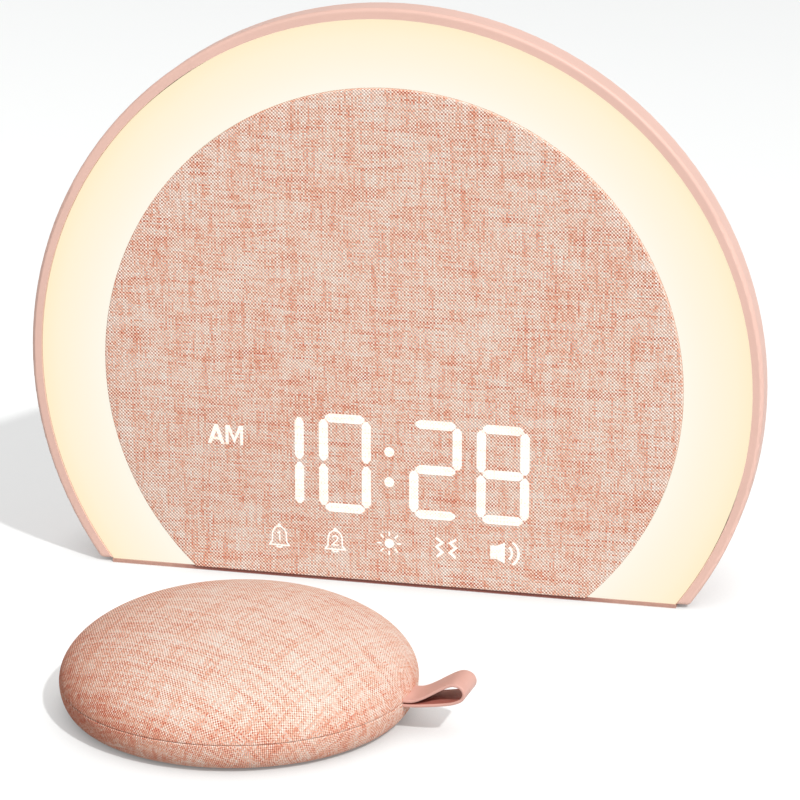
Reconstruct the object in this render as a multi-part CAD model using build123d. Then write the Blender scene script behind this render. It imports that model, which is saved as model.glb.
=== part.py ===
from build123d import *
import math
import os

# A wake-up light alarm clock and its wireless vibrating puck, in millimetres.
# The clock is a disc cut off flat at the bottom. It faces -Y and stands on the table plane z = 0,
# and the origin is on the table, under the middle of its depth. The puck lies on the same table
# in front of the clock.

# Fits shared by all pieces
SLIP = 0.15  # gap between fixed pieces that drop into each other
RUN = 0.25  # gap round a piece that travels
OVERRUN = 5.0  # how far a cut runs past the face that it opens

# Clock outline
DIAL_RADIUS = 100.0  # outside of the rim
DIAL_RISE_SHARE = 0.573  # from the flat bottom up to the centre of the circle
DIAL_RISE = DIAL_RISE_SHARE * DIAL_RADIUS
CLOCK_DEPTH = 50.0  # front of the rim to the back
FOOT_THICK = 1.0  # pad under the flat bottom
DIAL_Z = FOOT_THICK + DIAL_RISE
FRONT = -CLOCK_DEPTH / 2
BACK = CLOCK_DEPTH / 2

# Rim
BEZEL_WIDTH = 2.85
GLOW_WIDTH = 18.25  # of the ring between the bezel and the cloth
RIM_DEPTH = 9.0
RIM_EDGE = 1.0  # rounding of its front and rear edges
RIM_CORNER = 1.5  # rounding of its two bottom corners
FLANGE_WIDTH = 9.0  # ledge behind the light ring
FLANGE_THICK = 1.8
SILL_THICK = 2.2  # bottom wall between the rim's ends
BEZEL_RADIUS = DIAL_RADIUS - BEZEL_WIDTH
RIM_BACK = FRONT + RIM_DEPTH

# Light ring
DIFFUSER_RECESS = 0.5  # its front behind the rim's front
DIFFUSER_THICK = 2.5
CHASSIS_THICK = 1.2
TRAY_WALL = 1.2
RING_BOARD_MARGIN = 5.125  # to the edges of the glowing ring
RING_BOARD_WIDTH = GLOW_WIDTH - 2 * RING_BOARD_MARGIN
RING_BOARD_THICK = 1.0
RING_LED_SIZE = 2.8
RING_LED_THICK = 0.8
RING_LED_COUNT = 36
RING_ENDS_DEG = 30.0  # how far below level the ring's lamps reach on each side
DIFFUSER_FRONT = FRONT + DIFFUSER_RECESS
DIFFUSER_BACK = DIFFUSER_FRONT + DIFFUSER_THICK
CHASSIS_BACK = RIM_BACK - FLANGE_THICK
CHASSIS_FRONT = CHASSIS_BACK - CHASSIS_THICK
SILL_FRONT = DIFFUSER_BACK + SLIP
SILL_TOP = FOOT_THICK + SILL_THICK

# Cloth panel in the middle
PANEL_RADIUS = BEZEL_RADIUS - GLOW_WIDTH  # over the cloth
CLOTH_THICK = 0.6
PANEL_THICK = 2.4
PANEL_WALL = 1.8
CLOTH_TURN = 2.6  # how far the cloth goes back round the panel's edge

# Rear housing
HOUSING_STEP = 2.0  # the rear housing is this much smaller than the rim
HOUSING_TAPER = 14.0  # how much smaller the back is than the front of the housing
HOUSING_FRONT_RADIUS = DIAL_RADIUS - HOUSING_STEP
HOUSING_BACK_RADIUS = HOUSING_FRONT_RADIUS - HOUSING_TAPER
HOUSING_ROUND = 12.0  # rounding between flank and back
HOUSING_WALL = 2.4
HOUSING_CORNER = 2.0  # rounding along its two bottom corners
VENT_LENGTH = 17.0
VENT_WIDTH = 1.8
VENT_PITCH = 4.4
VENT_COUNT = 6
VENT_X_SHARE = 0.52  # middle of the vents on each side
VENT_X = VENT_X_SHARE * DIAL_RADIUS
RESET_RADIUS = 1.0
RESET_X = 17.0
LABEL_WIDTH = 46.0
LABEL_HEIGHT = 16.0
LABEL_DEPTH = 0.4
LABEL_GAP = 7.0  # above the battery door
WALL_INSIDE = BACK - HOUSING_WALL
FLANK_SLOPE = (HOUSING_FRONT_RADIUS - HOUSING_BACK_RADIUS) / (BACK - RIM_BACK)
FLANK_ANGLE = math.atan(FLANK_SLOPE)

# Screws that hold the rear housing to the chassis
SCREW_INSET = 10.9  # from the edge of the cloth panel
SCREW_CIRCLE = PANEL_RADIUS - SCREW_INSET
SCREW_ANGLES = (90.0, 30.0, 150.0, -24.0, 204.0)
SCREW_RISES = [SCREW_CIRCLE * math.sin(math.radians(turn)) for turn in SCREW_ANGLES]
VENT_Z = DIAL_Z + (SCREW_RISES[1] + SCREW_RISES[3]) / 2  # midway between the screws on each side
SCREW_HEAD_RADIUS = 2.7
SCREW_HEAD_THICK = 1.8
SCREW_RADIUS = 1.4
SCREW_LENGTH = 8.0
SOCKET_RADIUS = 1.25  # of the hexagon in the head
SOCKET_DEPTH = 1.0
BOSS_WALL = 1.6
BOSS_FLOOR = 4.0  # what the screw head bears on
PILOT_BOSS_WALL = 1.6

# Main board with its switches
BOARD_SIDE_GAP = 8.9  # from the middle of the screws beside it
BOARD_WIDTH = 2 * (SCREW_CIRCLE * math.cos(math.radians(SCREW_ANGLES[1])) - BOARD_SIDE_GAP)
BOARD_LOW_RISE = 7.0  # above the flat bottom
BOARD_LOW_Z = FOOT_THICK + BOARD_LOW_RISE
BOARD_ABOVE_KEYS = 15.0
BOARD_THICK = 1.6
BOARD_SETBACK = 8.0  # from the back wall's inside to the board
BOARD_POST_RADIUS = 3.0
BOARD_POST_INSET = 5.0  # of the posts from the board's edges
SWITCH_SIZE = 6.0
SWITCH_THICK = 3.6
SWITCH_FLOOR = 1.0  # solid bottom of a switch
BOARD_BACK = WALL_INSIDE - BOARD_SETBACK
BOARD_FRONT = BOARD_BACK - BOARD_THICK

# Keys on the back
KEY_NAMES = ("alarm_1_key", "alarm_2_key", "time_key", "minus_key", "plus_key", "light_key")
KEY_PITCH = 12.5
KEY_Z_SHARE = 0.96
KEY_Z = FOOT_THICK + KEY_Z_SHARE * DIAL_RADIUS
KEY_RADIUS = 4.2
KEY_PROUD = 1.2
KEY_EDGE = 0.5
KEY_FLANGE = 1.0  # width and thickness of the lip that keeps it in
KEY_STEM = 1.5
BOARD_HIGH_Z = KEY_Z + BOARD_ABOVE_KEYS
KEY_TRAVEL = 0.8

# Time display
DIGIT_HEIGHT = 28.0
DIGIT_WIDTH = 14.4
STROKE = 2.5
STROKE_GAP = 0.6
DIGIT_BASE_RISE = 19.0  # bottom of the digits above the flat bottom
DIGIT_BASE_Z = FOOT_THICK + DIGIT_BASE_RISE
DIGIT_PITCH = 18.4  # between the two digits of a pair
PAIR_OFFSET = 12.4  # from the colon to the middle of the digit beside it
COLON_X = 0.2
COLON_RISE = 4.25  # of its dots above and below the middle of the digits
COLON_RADIUS = 1.45
ICON_SIZE = 8.4
ICON_PITCH = 15.5
ICON_COUNT = 5
ICON_RISE = 10.9
ICON_Z = FOOT_THICK + ICON_RISE
NOON_WIDTH = 11.0  # window of the half-day sign
NOON_HEIGHT = 7.0
NOON_X = -45.4
NOON_RISE = 38.6
NOON_Z = FOOT_THICK + NOON_RISE
REFLECTOR_MARGIN = 1.4  # white wall round the outermost windows
LENS_THICK = 1.0
DISPLAY_BOARD_THICK = 1.6
DISPLAY_BOARD_MARGIN = 3.0
SEGMENT_LED_SIZE = 1.6
SEGMENT_LED_THICK = 0.7
DISPLAY_LIMIT = PANEL_RADIUS - CLOTH_THICK - PANEL_WALL - SLIP  # inside the panel's edge

# Speaker
SPEAKER_TOP_GAP = 7.0  # to the middle of the screw above it
SPEAKER_LOW_GAP = 17.3  # to the top of the digits
SPEAKER_TOP_Z = DIAL_Z + SCREW_CIRCLE - SPEAKER_TOP_GAP
SPEAKER_LOW_Z = DIGIT_BASE_Z + DIGIT_HEIGHT + SPEAKER_LOW_GAP
SPEAKER_RADIUS = (SPEAKER_TOP_Z - SPEAKER_LOW_Z) / 2
SPEAKER_Z = (SPEAKER_TOP_Z + SPEAKER_LOW_Z) / 2
SPEAKER_FLANGE_THICK = 1.4
SPEAKER_OPENING_SHARE = 0.815  # radius inside the basket's flange
SPEAKER_OPENING = SPEAKER_OPENING_SHARE * SPEAKER_RADIUS
SPEAKER_BACK_GAP = 6.8  # from the magnet to the main board
BASKET_WALL = 1.2
BASKET_FLOOR_RADIUS_SHARE = 0.61
BASKET_FLOOR_RADIUS = BASKET_FLOOR_RADIUS_SHARE * SPEAKER_RADIUS
MAGNET_RADIUS_SHARE = 0.555
MAGNET_RADIUS = MAGNET_RADIUS_SHARE * SPEAKER_RADIUS
MAGNET_THICK = 9.0
SPEAKER_DEPTH = BOARD_FRONT - SPEAKER_BACK_GAP - MAGNET_THICK - CHASSIS_BACK  # chassis to the magnet
COIL_RADIUS_SHARE = 0.26
COIL_RADIUS = COIL_RADIUS_SHARE * SPEAKER_RADIUS
COIL_WALL = 0.8
COIL_REACH = 4.0  # of the coil into the magnet's gap
COIL_GAP_DEPTH = 6.0
CONE_THICK = 0.8
CONE_LIP = 1.5  # flat edge of the cone
SURROUND_WIDTH = 3.4
SURROUND_THICK = 0.8
CONE_TRAVEL = 0.8
SOUND_HOLE = 1.1  # radius of the holes in front of the speaker
SOUND_PITCH = 4.0
SOUND_MARGIN = 7.0  # from the speaker's edge to the outermost holes
SOUND_RADIUS = SPEAKER_RADIUS - SOUND_MARGIN

# Snooze bar on top
SNOOZE_LENGTH = 44.0
SNOOZE_WIDTH = 13.0
SNOOZE_CORNER = 5.0
SNOOZE_PROUD = 0.9
SNOOZE_LIP = 2.0
SNOOZE_LIP_THICK = 1.2
SNOOZE_STEM = 2.0
SNOOZE_TRAVEL = 0.8
SNOOZE_DEPTH_SHARE = 0.42  # where it lies along the flank, from the rim to the back
SNOOZE_BOARD_DROP = 11.0  # from the flank down to its switch board
SNOOZE_BOARD_WIDTH = 10.0
SNOOZE_POST_RADIUS = 2.6
SNOOZE_POST_GAP = 1.4  # between the lip and a post

# Coin cell and its door
CELL_RADIUS = 10.0
CELL_THICK = 3.2
CUP_WALL = 1.4
CUP_FLOOR = 1.0
DOOR_MARGIN = 3.0  # of the door round the cell
DOOR_RADIUS = CELL_RADIUS + DOOR_MARGIN
DOOR_TAB_REACH = 2.2
DOOR_TAB_THICK = 1.2
DOOR_TAB_DEG = 30.0  # width of a tab as an angle
DOOR_TURN_DEG = 60.0  # from locked to open
COIN_SLOT_LENGTH = 14.0
COIN_SLOT_WIDTH = 2.2
COIN_SLOT_DEPTH = 1.3
DOOR_Z_SHARE = 0.43
DOOR_Z = FOOT_THICK + DOOR_Z_SHARE * DIAL_RADIUS
LABEL_Z = DOOR_Z + DOOR_RADIUS + LABEL_GAP + LABEL_HEIGHT / 2

# Power socket
USB_WIDTH = 8.94
USB_HEIGHT = 3.26
USB_WALL = 0.35
USB_RECESS = 1.0  # of its mouth behind the back
USB_DEPTH = 6.5  # of its mouth
USB_LENGTH = 9.0  # of the puck's socket
USB_TONGUE_WIDTH = 6.7
USB_TONGUE_THICK = 0.7
USB_TONGUE_REACH = 4.6
USB_RISE = 14.0  # above the flat bottom
USB_Z = FOOT_THICK + USB_RISE

# Parts on the main board
RADIO_SIZE = (16.0, 2.4, 20.0)
RADIO_SHARES = (0.24, 0.83)  # its place in X and Z, of the dial's radius
CHIP_SIZES = ((12.0, 1.6, 12.0), (8.0, 1.4, 6.0), (6.0, 1.2, 6.0))
CHIP_SHARES = ((-0.18, 0.65), (-0.26, 0.23), (0.22, 0.27))
RIBBON_WIDTH = 14.0
RIBBON_THICK = 0.8
RIBBON_X = -20.0

# Foot pad
PAD_INSET = 3.5  # from the ends of the flat bottom
PAD_BACK_INSET = 5.0
PAD_CORNER = 2.0

# Puck outline and place
PUCK_RADIUS = 44.4
PUCK_HEIGHT = 26.8
PUCK_SEAM_Z = 8.0
PUCK_TUCK = 4.8  # how far the lower curve draws in to the flat bottom
PUCK_FOOT_RADIUS = PUCK_RADIUS - PUCK_TUCK
PUCK_PAD_PROUD = 0.6  # grip pad below the cloth
PUCK_CLOTH = 0.7
PUCK_WALL = 2.0
PUCK_SEAM_GAP = 0.3
OVAL_STEPS = 12  # points along a quarter of its side curves
PUCK_X = -16.8
PUCK_AHEAD = 89.9  # from the front of the clock to the puck's middle
PUCK_TURN_DEG = -5.0  # its strap points this far off +X
PUCK_Y = FRONT - PUCK_AHEAD
PUCK_SHELL_LOW = PUCK_PAD_PROUD + PUCK_CLOTH
PUCK_FLOOR = PUCK_SHELL_LOW + PUCK_WALL

# Puck screws, pad, button and light
PUCK_SCREW_INSET = 11.4  # from the widest radius
PUCK_SCREW_CIRCLE = PUCK_RADIUS - PUCK_SCREW_INSET
PUCK_SCREW_ANGLES = (45.0, 135.0, 225.0, 315.0)
PUCK_BOSS_RADIUS = 3.2
PUCK_BOSS_SIDE = PUCK_SCREW_CIRCLE * math.cos(math.radians(PUCK_SCREW_ANGLES[0])) - PUCK_BOSS_RADIUS
PUCK_SCREW_RADIUS = 1.1
PUCK_SCREW_LENGTH = 9.0
PUCK_HEAD_RADIUS = 2.1
PUCK_HEAD_THICK = 1.2
PAD_MARGIN = 3.6  # from the edge of the flat bottom
PAD_OUTER_RADIUS = PUCK_FOOT_RADIUS - PAD_MARGIN
PAD_INNER_RADIUS = 11.0
BUTTON_RADIUS = 5.0
BUTTON_SHY = 0.7  # its face above the table
BUTTON_LIP = 1.0
BUTTON_TRAVEL = 0.5
BUTTON_STEM = 1.5
PIPE_RADIUS = 1.0
PIPE_GAP = 3.5  # from the button's edge
PIPE_X = BUTTON_RADIUS + PIPE_GAP

# Puck board, battery and socket
PUCK_BOARD_GAP = 1.1  # to the bosses beside it
PUCK_BOARD_WIDTH = 2 * (PUCK_BOSS_SIDE - PUCK_BOARD_GAP)
PUCK_BOARD_NEAR = -3.0  # its two edges along the puck's Y
PUCK_BOARD_INSET = 10.4  # from the widest radius
PUCK_BOARD_FAR = PUCK_RADIUS - PUCK_BOARD_INSET
PUCK_BOARD_Z = 7.0
PUCK_BOARD_THICK = 1.2
PUCK_SWITCH_SIZE = 5.0
PUCK_SWITCH_THICK = 2.2
PUCK_SWITCH_ROOF = 0.5
PUCK_POST_RADIUS = 2.0
PUCK_POST_INSET = 3.0
CELL_SIDE_MARGIN = 4.0  # from the board's edges
CELL_NEAR = 9.0  # its near side along the puck's Y
CELL_FAR_MARGIN = 5.0
CELL_LENGTH = PUCK_BOARD_WIDTH - 2 * CELL_SIDE_MARGIN
CELL_BREADTH = PUCK_BOARD_FAR - CELL_FAR_MARGIN - CELL_NEAR
CELL_HEIGHT = 5.5
CELL_Y = CELL_NEAR + CELL_BREADTH / 2
PUCK_CHIP_SIZE = (7.0, 5.0, 1.4)
PUCK_CHIP_Y = 2.5
PUCK_USB_RECESS = 1.4  # of its mouth from the widest radius

# Vibration motor
MOTOR_NEAR_GAP = 0.45  # from the board's near edge to the bracket
MOTOR_WALL_GAP = 7.05  # from the bracket to the wall
MOTOR_TOP_GAP = 6.65  # from the top of the dome to the bracket
MOTOR_BOSS_GAP = 2.1
SHAFT_RADIUS = 1.0
SHAFT_LENGTH = 11.0
SHAFT_SEAT = 4.0  # of the shaft inside the can
SHAFT_FIT = 0.04
WEIGHT_OVER = 0.6  # how much wider the weight swings than the can
WEIGHT_THICK = 8.0
WEIGHT_HUB = 3.0
WEIGHT_CLEAR = 0.7  # between the weight and the floor
WEIGHT_GAP = 1.5  # from the can to the weight
WEIGHT_END_GAP = 6.6  # from the weight to the boss beyond it
BRACKET_THICK = 1.4
BRACKET_FOOT = 5.0
BRACKET_INSET = 0.5  # from the rear end of the can
BRACKET_GAP = 1.25  # from the bracket to the button's lip
MOTOR_NEAR_Y = PUCK_BOARD_NEAR - MOTOR_NEAR_GAP
MOTOR_FAR_Y = MOTOR_WALL_GAP + PUCK_WALL - PUCK_FOOT_RADIUS
MOTOR_Y = (MOTOR_NEAR_Y + MOTOR_FAR_Y) / 2
BRACKET_SIDE = BRACKET_THICK + SLIP
MOTOR_ACROSS = (MOTOR_NEAR_Y - MOTOR_FAR_Y) / 2 - BRACKET_SIDE - BRACKET_FOOT
MOTOR_UP = (PUCK_HEIGHT - MOTOR_TOP_GAP - BRACKET_SIDE - PUCK_FLOOR - WEIGHT_CLEAR - WEIGHT_OVER) / 2
MOTOR_RADIUS = min(MOTOR_ACROSS, MOTOR_UP)  # whichever room is tighter
WEIGHT_RADIUS = MOTOR_RADIUS + WEIGHT_OVER
MOTOR_Z = PUCK_FLOOR + WEIGHT_CLEAR + WEIGHT_RADIUS
MOTOR_LOW_X = MOTOR_BOSS_GAP - PUCK_BOSS_SIDE
MOTOR_LENGTH = PUCK_BOSS_SIDE - WEIGHT_END_GAP - WEIGHT_THICK - WEIGHT_GAP - MOTOR_LOW_X
BRACKET_WIDTH = -MOTOR_LOW_X - BRACKET_INSET - BRACKET_GAP - BUTTON_RADIUS - RUN - BUTTON_LIP

# Strap loop
STRAP_WIDTH = 10.0
STRAP_THICK = 1.0
STRAP_PLY_GAP = 0.2  # between its two layers in the seam
STRAP_REACH = 16.2  # of the loop's far corner beyond the puck
STRAP_RISE = 8.0  # of its upper corner above the seam
STRAP_INSIDE = 9.0  # hidden length inside the puck
STRAP_TIP_RADIUS = 2.4
STRAP_BEND_RADIUS = 9.0
STRAP_LOW_RISE_SHARE = 0.2  # rise of the lower corner, of the whole rise
STRAP_BACK_SHARE = 0.95  # reach of the upper corner, of the whole reach
STRAP_LOW_BEND_SHARE = 0.2  # where the lower layer starts to rise, of the reach
STRAP_HIGH_BEND_SHARE = 0.26  # where the upper layer comes back down, of the reach
PIN_RADIUS = 1.5
PIN_BOSS_WALL = 1.2
PIN_INSET = 6.0  # of the pin from the puck's edge


def block(x, y, z):
    """A box from its low and high limits along each axis."""
    sizes = [high - low for low, high in (x, y, z)]
    return Pos(x[0], y[0], z[0]) * Box(*sizes, align=(Align.MIN, Align.MIN, Align.MIN))


def centred(middle, size):
    """Low and high limits of a length about its middle."""
    return (middle - size / 2, middle + size / 2)


def drum(radius, front, back, x, z):
    """A cylinder along Y from depth front to depth back."""
    upright = Cylinder(radius, back - front, align=(Align.CENTER, Align.CENTER, Align.MIN))
    return Pos(x, front, z) * Rot(-90, 0, 0) * upright


def post(radius, low, high, x=0.0, y=0.0):
    """A cylinder along Z from height low to height high."""
    return Pos(x, y, low) * Cylinder(radius, high - low, align=(Align.CENTER, Align.CENTER, Align.MIN))


def plate(outline, front, back):
    """An outline drawn in X and Z, solid from depth front to depth back."""
    return extrude(Plane((0, back, 0), x_dir=(1, 0, 0), z_dir=(0, -1, 0)) * outline, amount=back - front)


def dial(radius, low, corner=0.0):
    """A circle about the dial's centre, cut off flat at height low, with its corners rounded."""
    circle = Pos(0, DIAL_Z) * Rot(0, 0, -90) * Circle(radius)
    kept = circle - Pos(0, low) * Rectangle(3 * radius, 3 * radius, align=(Align.CENTER, Align.MAX))
    return fillet(kept.vertices(), corner) if corner else kept


def on_dial(radius, degrees):
    """The point in X and Z at a radius and an angle about the dial's centre."""
    angle = math.radians(degrees)
    return radius * math.cos(angle), DIAL_Z + radius * math.sin(angle)


def bowl(grow, front=RIM_BACK):
    """The rear housing's round outside, moved out by grow, from depth front back."""
    side = grow / math.cos(FLANK_ANGLE)
    behind = BACK + grow
    foot = (HOUSING_FRONT_RADIUS + side - (front - RIM_BACK) * FLANK_SLOPE, front)
    corner = (HOUSING_FRONT_RADIUS + side - (behind - RIM_BACK) * FLANK_SLOPE, behind)
    curve = FilletPolyline((0, behind), corner, foot, radius=HOUSING_ROUND + grow)
    rest = Polyline(foot, (0, front), (0, behind))
    return Pos(0, 0, DIAL_Z) * revolve(make_face(curve.edges() + rest.edges()), Axis.Y)


def above(low):
    """Everything near the clock above a height."""
    reach = 2 * DIAL_RADIUS
    return block((-reach, reach), (-reach, reach), (low, low + 2 * reach))


def union(shapes):
    """All the shapes as one."""
    first, *others = shapes
    for shape in others:
        first = first + shape
    return first


def save(name, *shapes):
    """Writes a node's solids to its own file."""
    solids = [solid for shape in shapes for solid in shape.solids()]
    export_step(solids[0] if len(solids) == 1 else Compound(children=solids), f"parts/{name}.step")


# Rim and light ring


def front_frame():
    """The rim: a band round the disc, a ledge behind the light ring, and a sill along the bottom."""
    band = plate(dial(DIAL_RADIUS, FOOT_THICK, RIM_CORNER), FRONT, RIM_BACK)
    band = fillet(band.edges().group_by(Axis.Y)[0] + band.edges().group_by(Axis.Y)[-1], RIM_EDGE)
    hollow = drum(BEZEL_RADIUS, FRONT - OVERRUN, RIM_BACK + OVERRUN, 0, DIAL_Z)
    ledge = plate(dial(BEZEL_RADIUS + SLIP, FOOT_THICK), CHASSIS_BACK, RIM_BACK)
    ledge -= drum(BEZEL_RADIUS - FLANGE_WIDTH, FRONT, RIM_BACK + OVERRUN, 0, DIAL_Z)
    half_sill = math.sqrt(BEZEL_RADIUS**2 - DIAL_RISE**2) + BEZEL_WIDTH / 2
    sill = block((-half_sill, half_sill), (SILL_FRONT, RIM_BACK), (FOOT_THICK, SILL_TOP))
    return band - hollow + ledge + sill


def diffuser():
    """The milky ring in front of the lamps, open at the bottom where the dial is cut off."""
    ring = dial(BEZEL_RADIUS - SLIP, FOOT_THICK) - Pos(0, DIAL_Z) * Circle(PANEL_RADIUS + SLIP)
    return plate(ring, DIFFUSER_FRONT, DIFFUSER_BACK)


def screw_places():
    """X and Z of the screws in the back."""
    return [on_dial(SCREW_CIRCLE, degrees) for degrees in SCREW_ANGLES]


def display_box(margin):
    """Low and high limits in X and Z round all display windows."""
    left = NOON_X - NOON_WIDTH / 2 - REFLECTOR_MARGIN - margin
    right = COLON_X + PAIR_OFFSET + DIGIT_PITCH + DIGIT_WIDTH / 2 + REFLECTOR_MARGIN + margin
    low = ICON_Z - ICON_SIZE / 2 - REFLECTOR_MARGIN - margin
    high = DIGIT_BASE_Z + DIGIT_HEIGHT + REFLECTOR_MARGIN + margin
    return (left, right), (low, high)


def chassis():
    """The white plate inside: tray of the light ring, seat of the display and the speaker."""
    low = SILL_TOP + SLIP
    floor = plate(dial(BEZEL_RADIUS - SLIP, low), CHASSIS_FRONT, CHASSIS_BACK)
    wall = plate(dial(BEZEL_RADIUS - SLIP, low) - dial(BEZEL_RADIUS - SLIP - TRAY_WALL, low + TRAY_WALL),
                 DIFFUSER_BACK, CHASSIS_FRONT)
    wall -= drum(PANEL_RADIUS, FRONT, CHASSIS_FRONT, 0, DIAL_Z)
    body = floor + wall
    pilot_front = FRONT + PANEL_THICK + SLIP
    for x, z in screw_places():
        body += drum(SCREW_RADIUS + PILOT_BOSS_WALL, pilot_front, CHASSIS_FRONT, x, z)
    for x, z in screw_places():
        body -= drum(SCREW_RADIUS, pilot_front - OVERRUN, CHASSIS_BACK + OVERRUN, x, z)
    body -= drum(SPEAKER_OPENING, FRONT, CHASSIS_BACK + OVERRUN, 0, SPEAKER_Z)
    across, up = display_box(SLIP)
    return body - block(across, (FRONT, CHASSIS_BACK + OVERRUN), up)


def ring_board_radius():
    """Middle radius of the lamp board, halfway between the panel and the tray's wall."""
    return (PANEL_RADIUS + BEZEL_RADIUS - SLIP - TRAY_WALL) / 2


def ring_board():
    """The curved board under the lamps."""
    middle = ring_board_radius()
    low = DIAL_Z - middle * math.sin(math.radians(RING_ENDS_DEG)) - RING_BOARD_WIDTH
    ring = dial(middle + RING_BOARD_WIDTH / 2, low) - Pos(0, DIAL_Z) * Circle(middle - RING_BOARD_WIDTH / 2)
    return plate(ring, CHASSIS_FRONT - RING_BOARD_THICK, CHASSIS_FRONT)


def ring_leds():
    """The lamps, evenly spread along the curved board."""
    seat = CHASSIS_FRONT - RING_BOARD_THICK
    lamp = block(centred(0, RING_LED_SIZE), (seat - RING_LED_THICK, seat), centred(0, RING_LED_SIZE))
    step = (180 + 2 * RING_ENDS_DEG) / (RING_LED_COUNT - 1)
    lamps = []
    for number in range(RING_LED_COUNT):
        degrees = number * step - RING_ENDS_DEG
        x, z = on_dial(ring_board_radius(), degrees)
        lamps.append(Pos(x, 0, z) * Rot(0, -degrees, 0) * lamp)
    return lamps


# Cloth panel


def front_panel():
    """The stiff dish that carries the cloth, with a window for the display and sound holes."""
    radius = PANEL_RADIUS - CLOTH_THICK
    low = FOOT_THICK + CLOTH_THICK
    face = plate(dial(radius, low), FRONT, FRONT + PANEL_THICK)
    skirt = plate(dial(radius, SILL_TOP + SLIP) - dial(radius - PANEL_WALL, SILL_TOP + SLIP + PANEL_WALL),
                  FRONT + PANEL_THICK, CHASSIS_FRONT)
    across, up = display_box(SLIP)
    body = face + skirt - block(across, (FRONT - OVERRUN, CHASSIS_FRONT), up)
    holes = []
    rows = int(SOUND_RADIUS // SOUND_PITCH)
    for row in range(-rows, rows + 1):
        for column in range(-rows, rows + 1):
            x, z = column * SOUND_PITCH, row * SOUND_PITCH
            if math.hypot(x, z) <= SOUND_RADIUS:
                holes.append(Pos(x, SPEAKER_Z + z) * Circle(SOUND_HOLE))
    return body - plate(Sketch() + holes, FRONT - OVERRUN, FRONT + PANEL_THICK + SLIP)


def front_cloth():
    """The cloth over the panel, turned back round its edge."""
    outer = plate(dial(PANEL_RADIUS, FOOT_THICK), FRONT - CLOTH_THICK, FRONT + CLOTH_TURN - CLOTH_THICK)
    return outer - plate(dial(PANEL_RADIUS - CLOTH_THICK, FOOT_THICK + CLOTH_THICK), FRONT, FRONT + CLOTH_TURN)


# Display


def bar(length, width):
    """One stroke of a digit: a bar with pointed ends, along X."""
    half, side = length / 2, width / 2
    points = [(-half, 0), (side - half, side), (half - side, side), (half, 0), (half - side, -side), (side - half, -side)]
    return make_face(Polyline(*points, close=True).edges())


def digit_bars(x, shrink):
    """The seven strokes of a digit whose middle is at x."""
    middle_z = DIGIT_BASE_Z + DIGIT_HEIGHT / 2
    side = (DIGIT_WIDTH - STROKE) / 2
    level = (DIGIT_HEIGHT - STROKE) / 2
    flat = bar(2 * side - STROKE_GAP - shrink, STROKE - shrink)
    tall = Rot(0, 0, 90) * bar(level - STROKE_GAP - shrink, STROKE - shrink)
    bars = [Pos(x, middle_z + rise) * flat for rise in (-level, 0, level)]
    for sign in (-1, 1):
        bars += [Pos(x + sign * side, middle_z + rise) * tall for rise in (-level / 2, level / 2)]
    return bars


def digit_middles():
    """X of the middles of the four digits."""
    near, far = PAIR_OFFSET, PAIR_OFFSET + DIGIT_PITCH
    return [COLON_X + offset for offset in (-far, -near, near, far)]


def icon_places():
    """X of the icon windows."""
    first = COLON_X - ICON_PITCH * (ICON_COUNT - 1) / 2
    return [first + number * ICON_PITCH for number in range(ICON_COUNT)]


def display_windows(shrink):
    """Every lit window of the display as a flat shape, smaller by shrink."""
    windows = [stroke for x in digit_middles() for stroke in digit_bars(x, shrink)]
    middle_z = DIGIT_BASE_Z + DIGIT_HEIGHT / 2
    windows += [Pos(COLON_X, middle_z + rise) * Circle(COLON_RADIUS - shrink / 2) for rise in (-COLON_RISE, COLON_RISE)]
    windows += [Pos(x, ICON_Z) * Rectangle(ICON_SIZE - shrink, ICON_SIZE - shrink) for x in icon_places()]
    windows.append(Pos(NOON_X, NOON_Z) * Rectangle(NOON_WIDTH - shrink, NOON_HEIGHT - shrink))
    return windows


def display_reflector():
    """The white block with a well behind each window."""
    across, up = display_box(0)
    body = block(across, (FRONT, CHASSIS_BACK), up)
    body &= drum(DISPLAY_LIMIT, FRONT, CHASSIS_BACK, 0, DIAL_Z)
    return body - plate(Sketch() + display_windows(0), FRONT - OVERRUN, CHASSIS_BACK + OVERRUN)


def display_lenses():
    """The clear fillings in the mouths of the wells."""
    return [plate(window, FRONT, FRONT + LENS_THICK) for window in display_windows(SLIP)]


def display_board():
    """The board that closes the wells from behind."""
    across, up = display_box(DISPLAY_BOARD_MARGIN)
    depth = (CHASSIS_BACK, CHASSIS_BACK + DISPLAY_BOARD_THICK)
    shape = block(across, depth, (max(up[0], SILL_TOP + SLIP), up[1]))
    return shape & drum(BEZEL_RADIUS - FLANGE_WIDTH - SLIP, *depth, 0, DIAL_Z)


def display_leds():
    """One lamp at the bottom of each well."""
    seat = CHASSIS_BACK
    lamps = []
    for window in display_windows(0):
        place = window.center()
        depth = (seat - SEGMENT_LED_THICK, seat)
        lamps.append(block(centred(place.X, SEGMENT_LED_SIZE), depth, centred(place.Y, SEGMENT_LED_SIZE)))
    return lamps


# Speaker


def speaker_drum(radius, front, back):
    """A cylinder on the speaker's axis."""
    return drum(radius, front, back, 0, SPEAKER_Z)


def funnel(front_radius, back_radius, front, back):
    """A cone frustum on the speaker's axis."""
    upright = Cone(front_radius, back_radius, back - front, align=(Align.CENTER, Align.CENTER, Align.MIN))
    return Pos(0, front, SPEAKER_Z) * Rot(-90, 0, 0) * upright


SPEAKER_SEAT = CHASSIS_BACK
MAGNET_FRONT = SPEAKER_SEAT + SPEAKER_DEPTH
SURROUND_INNER = SPEAKER_OPENING - SURROUND_WIDTH


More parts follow.
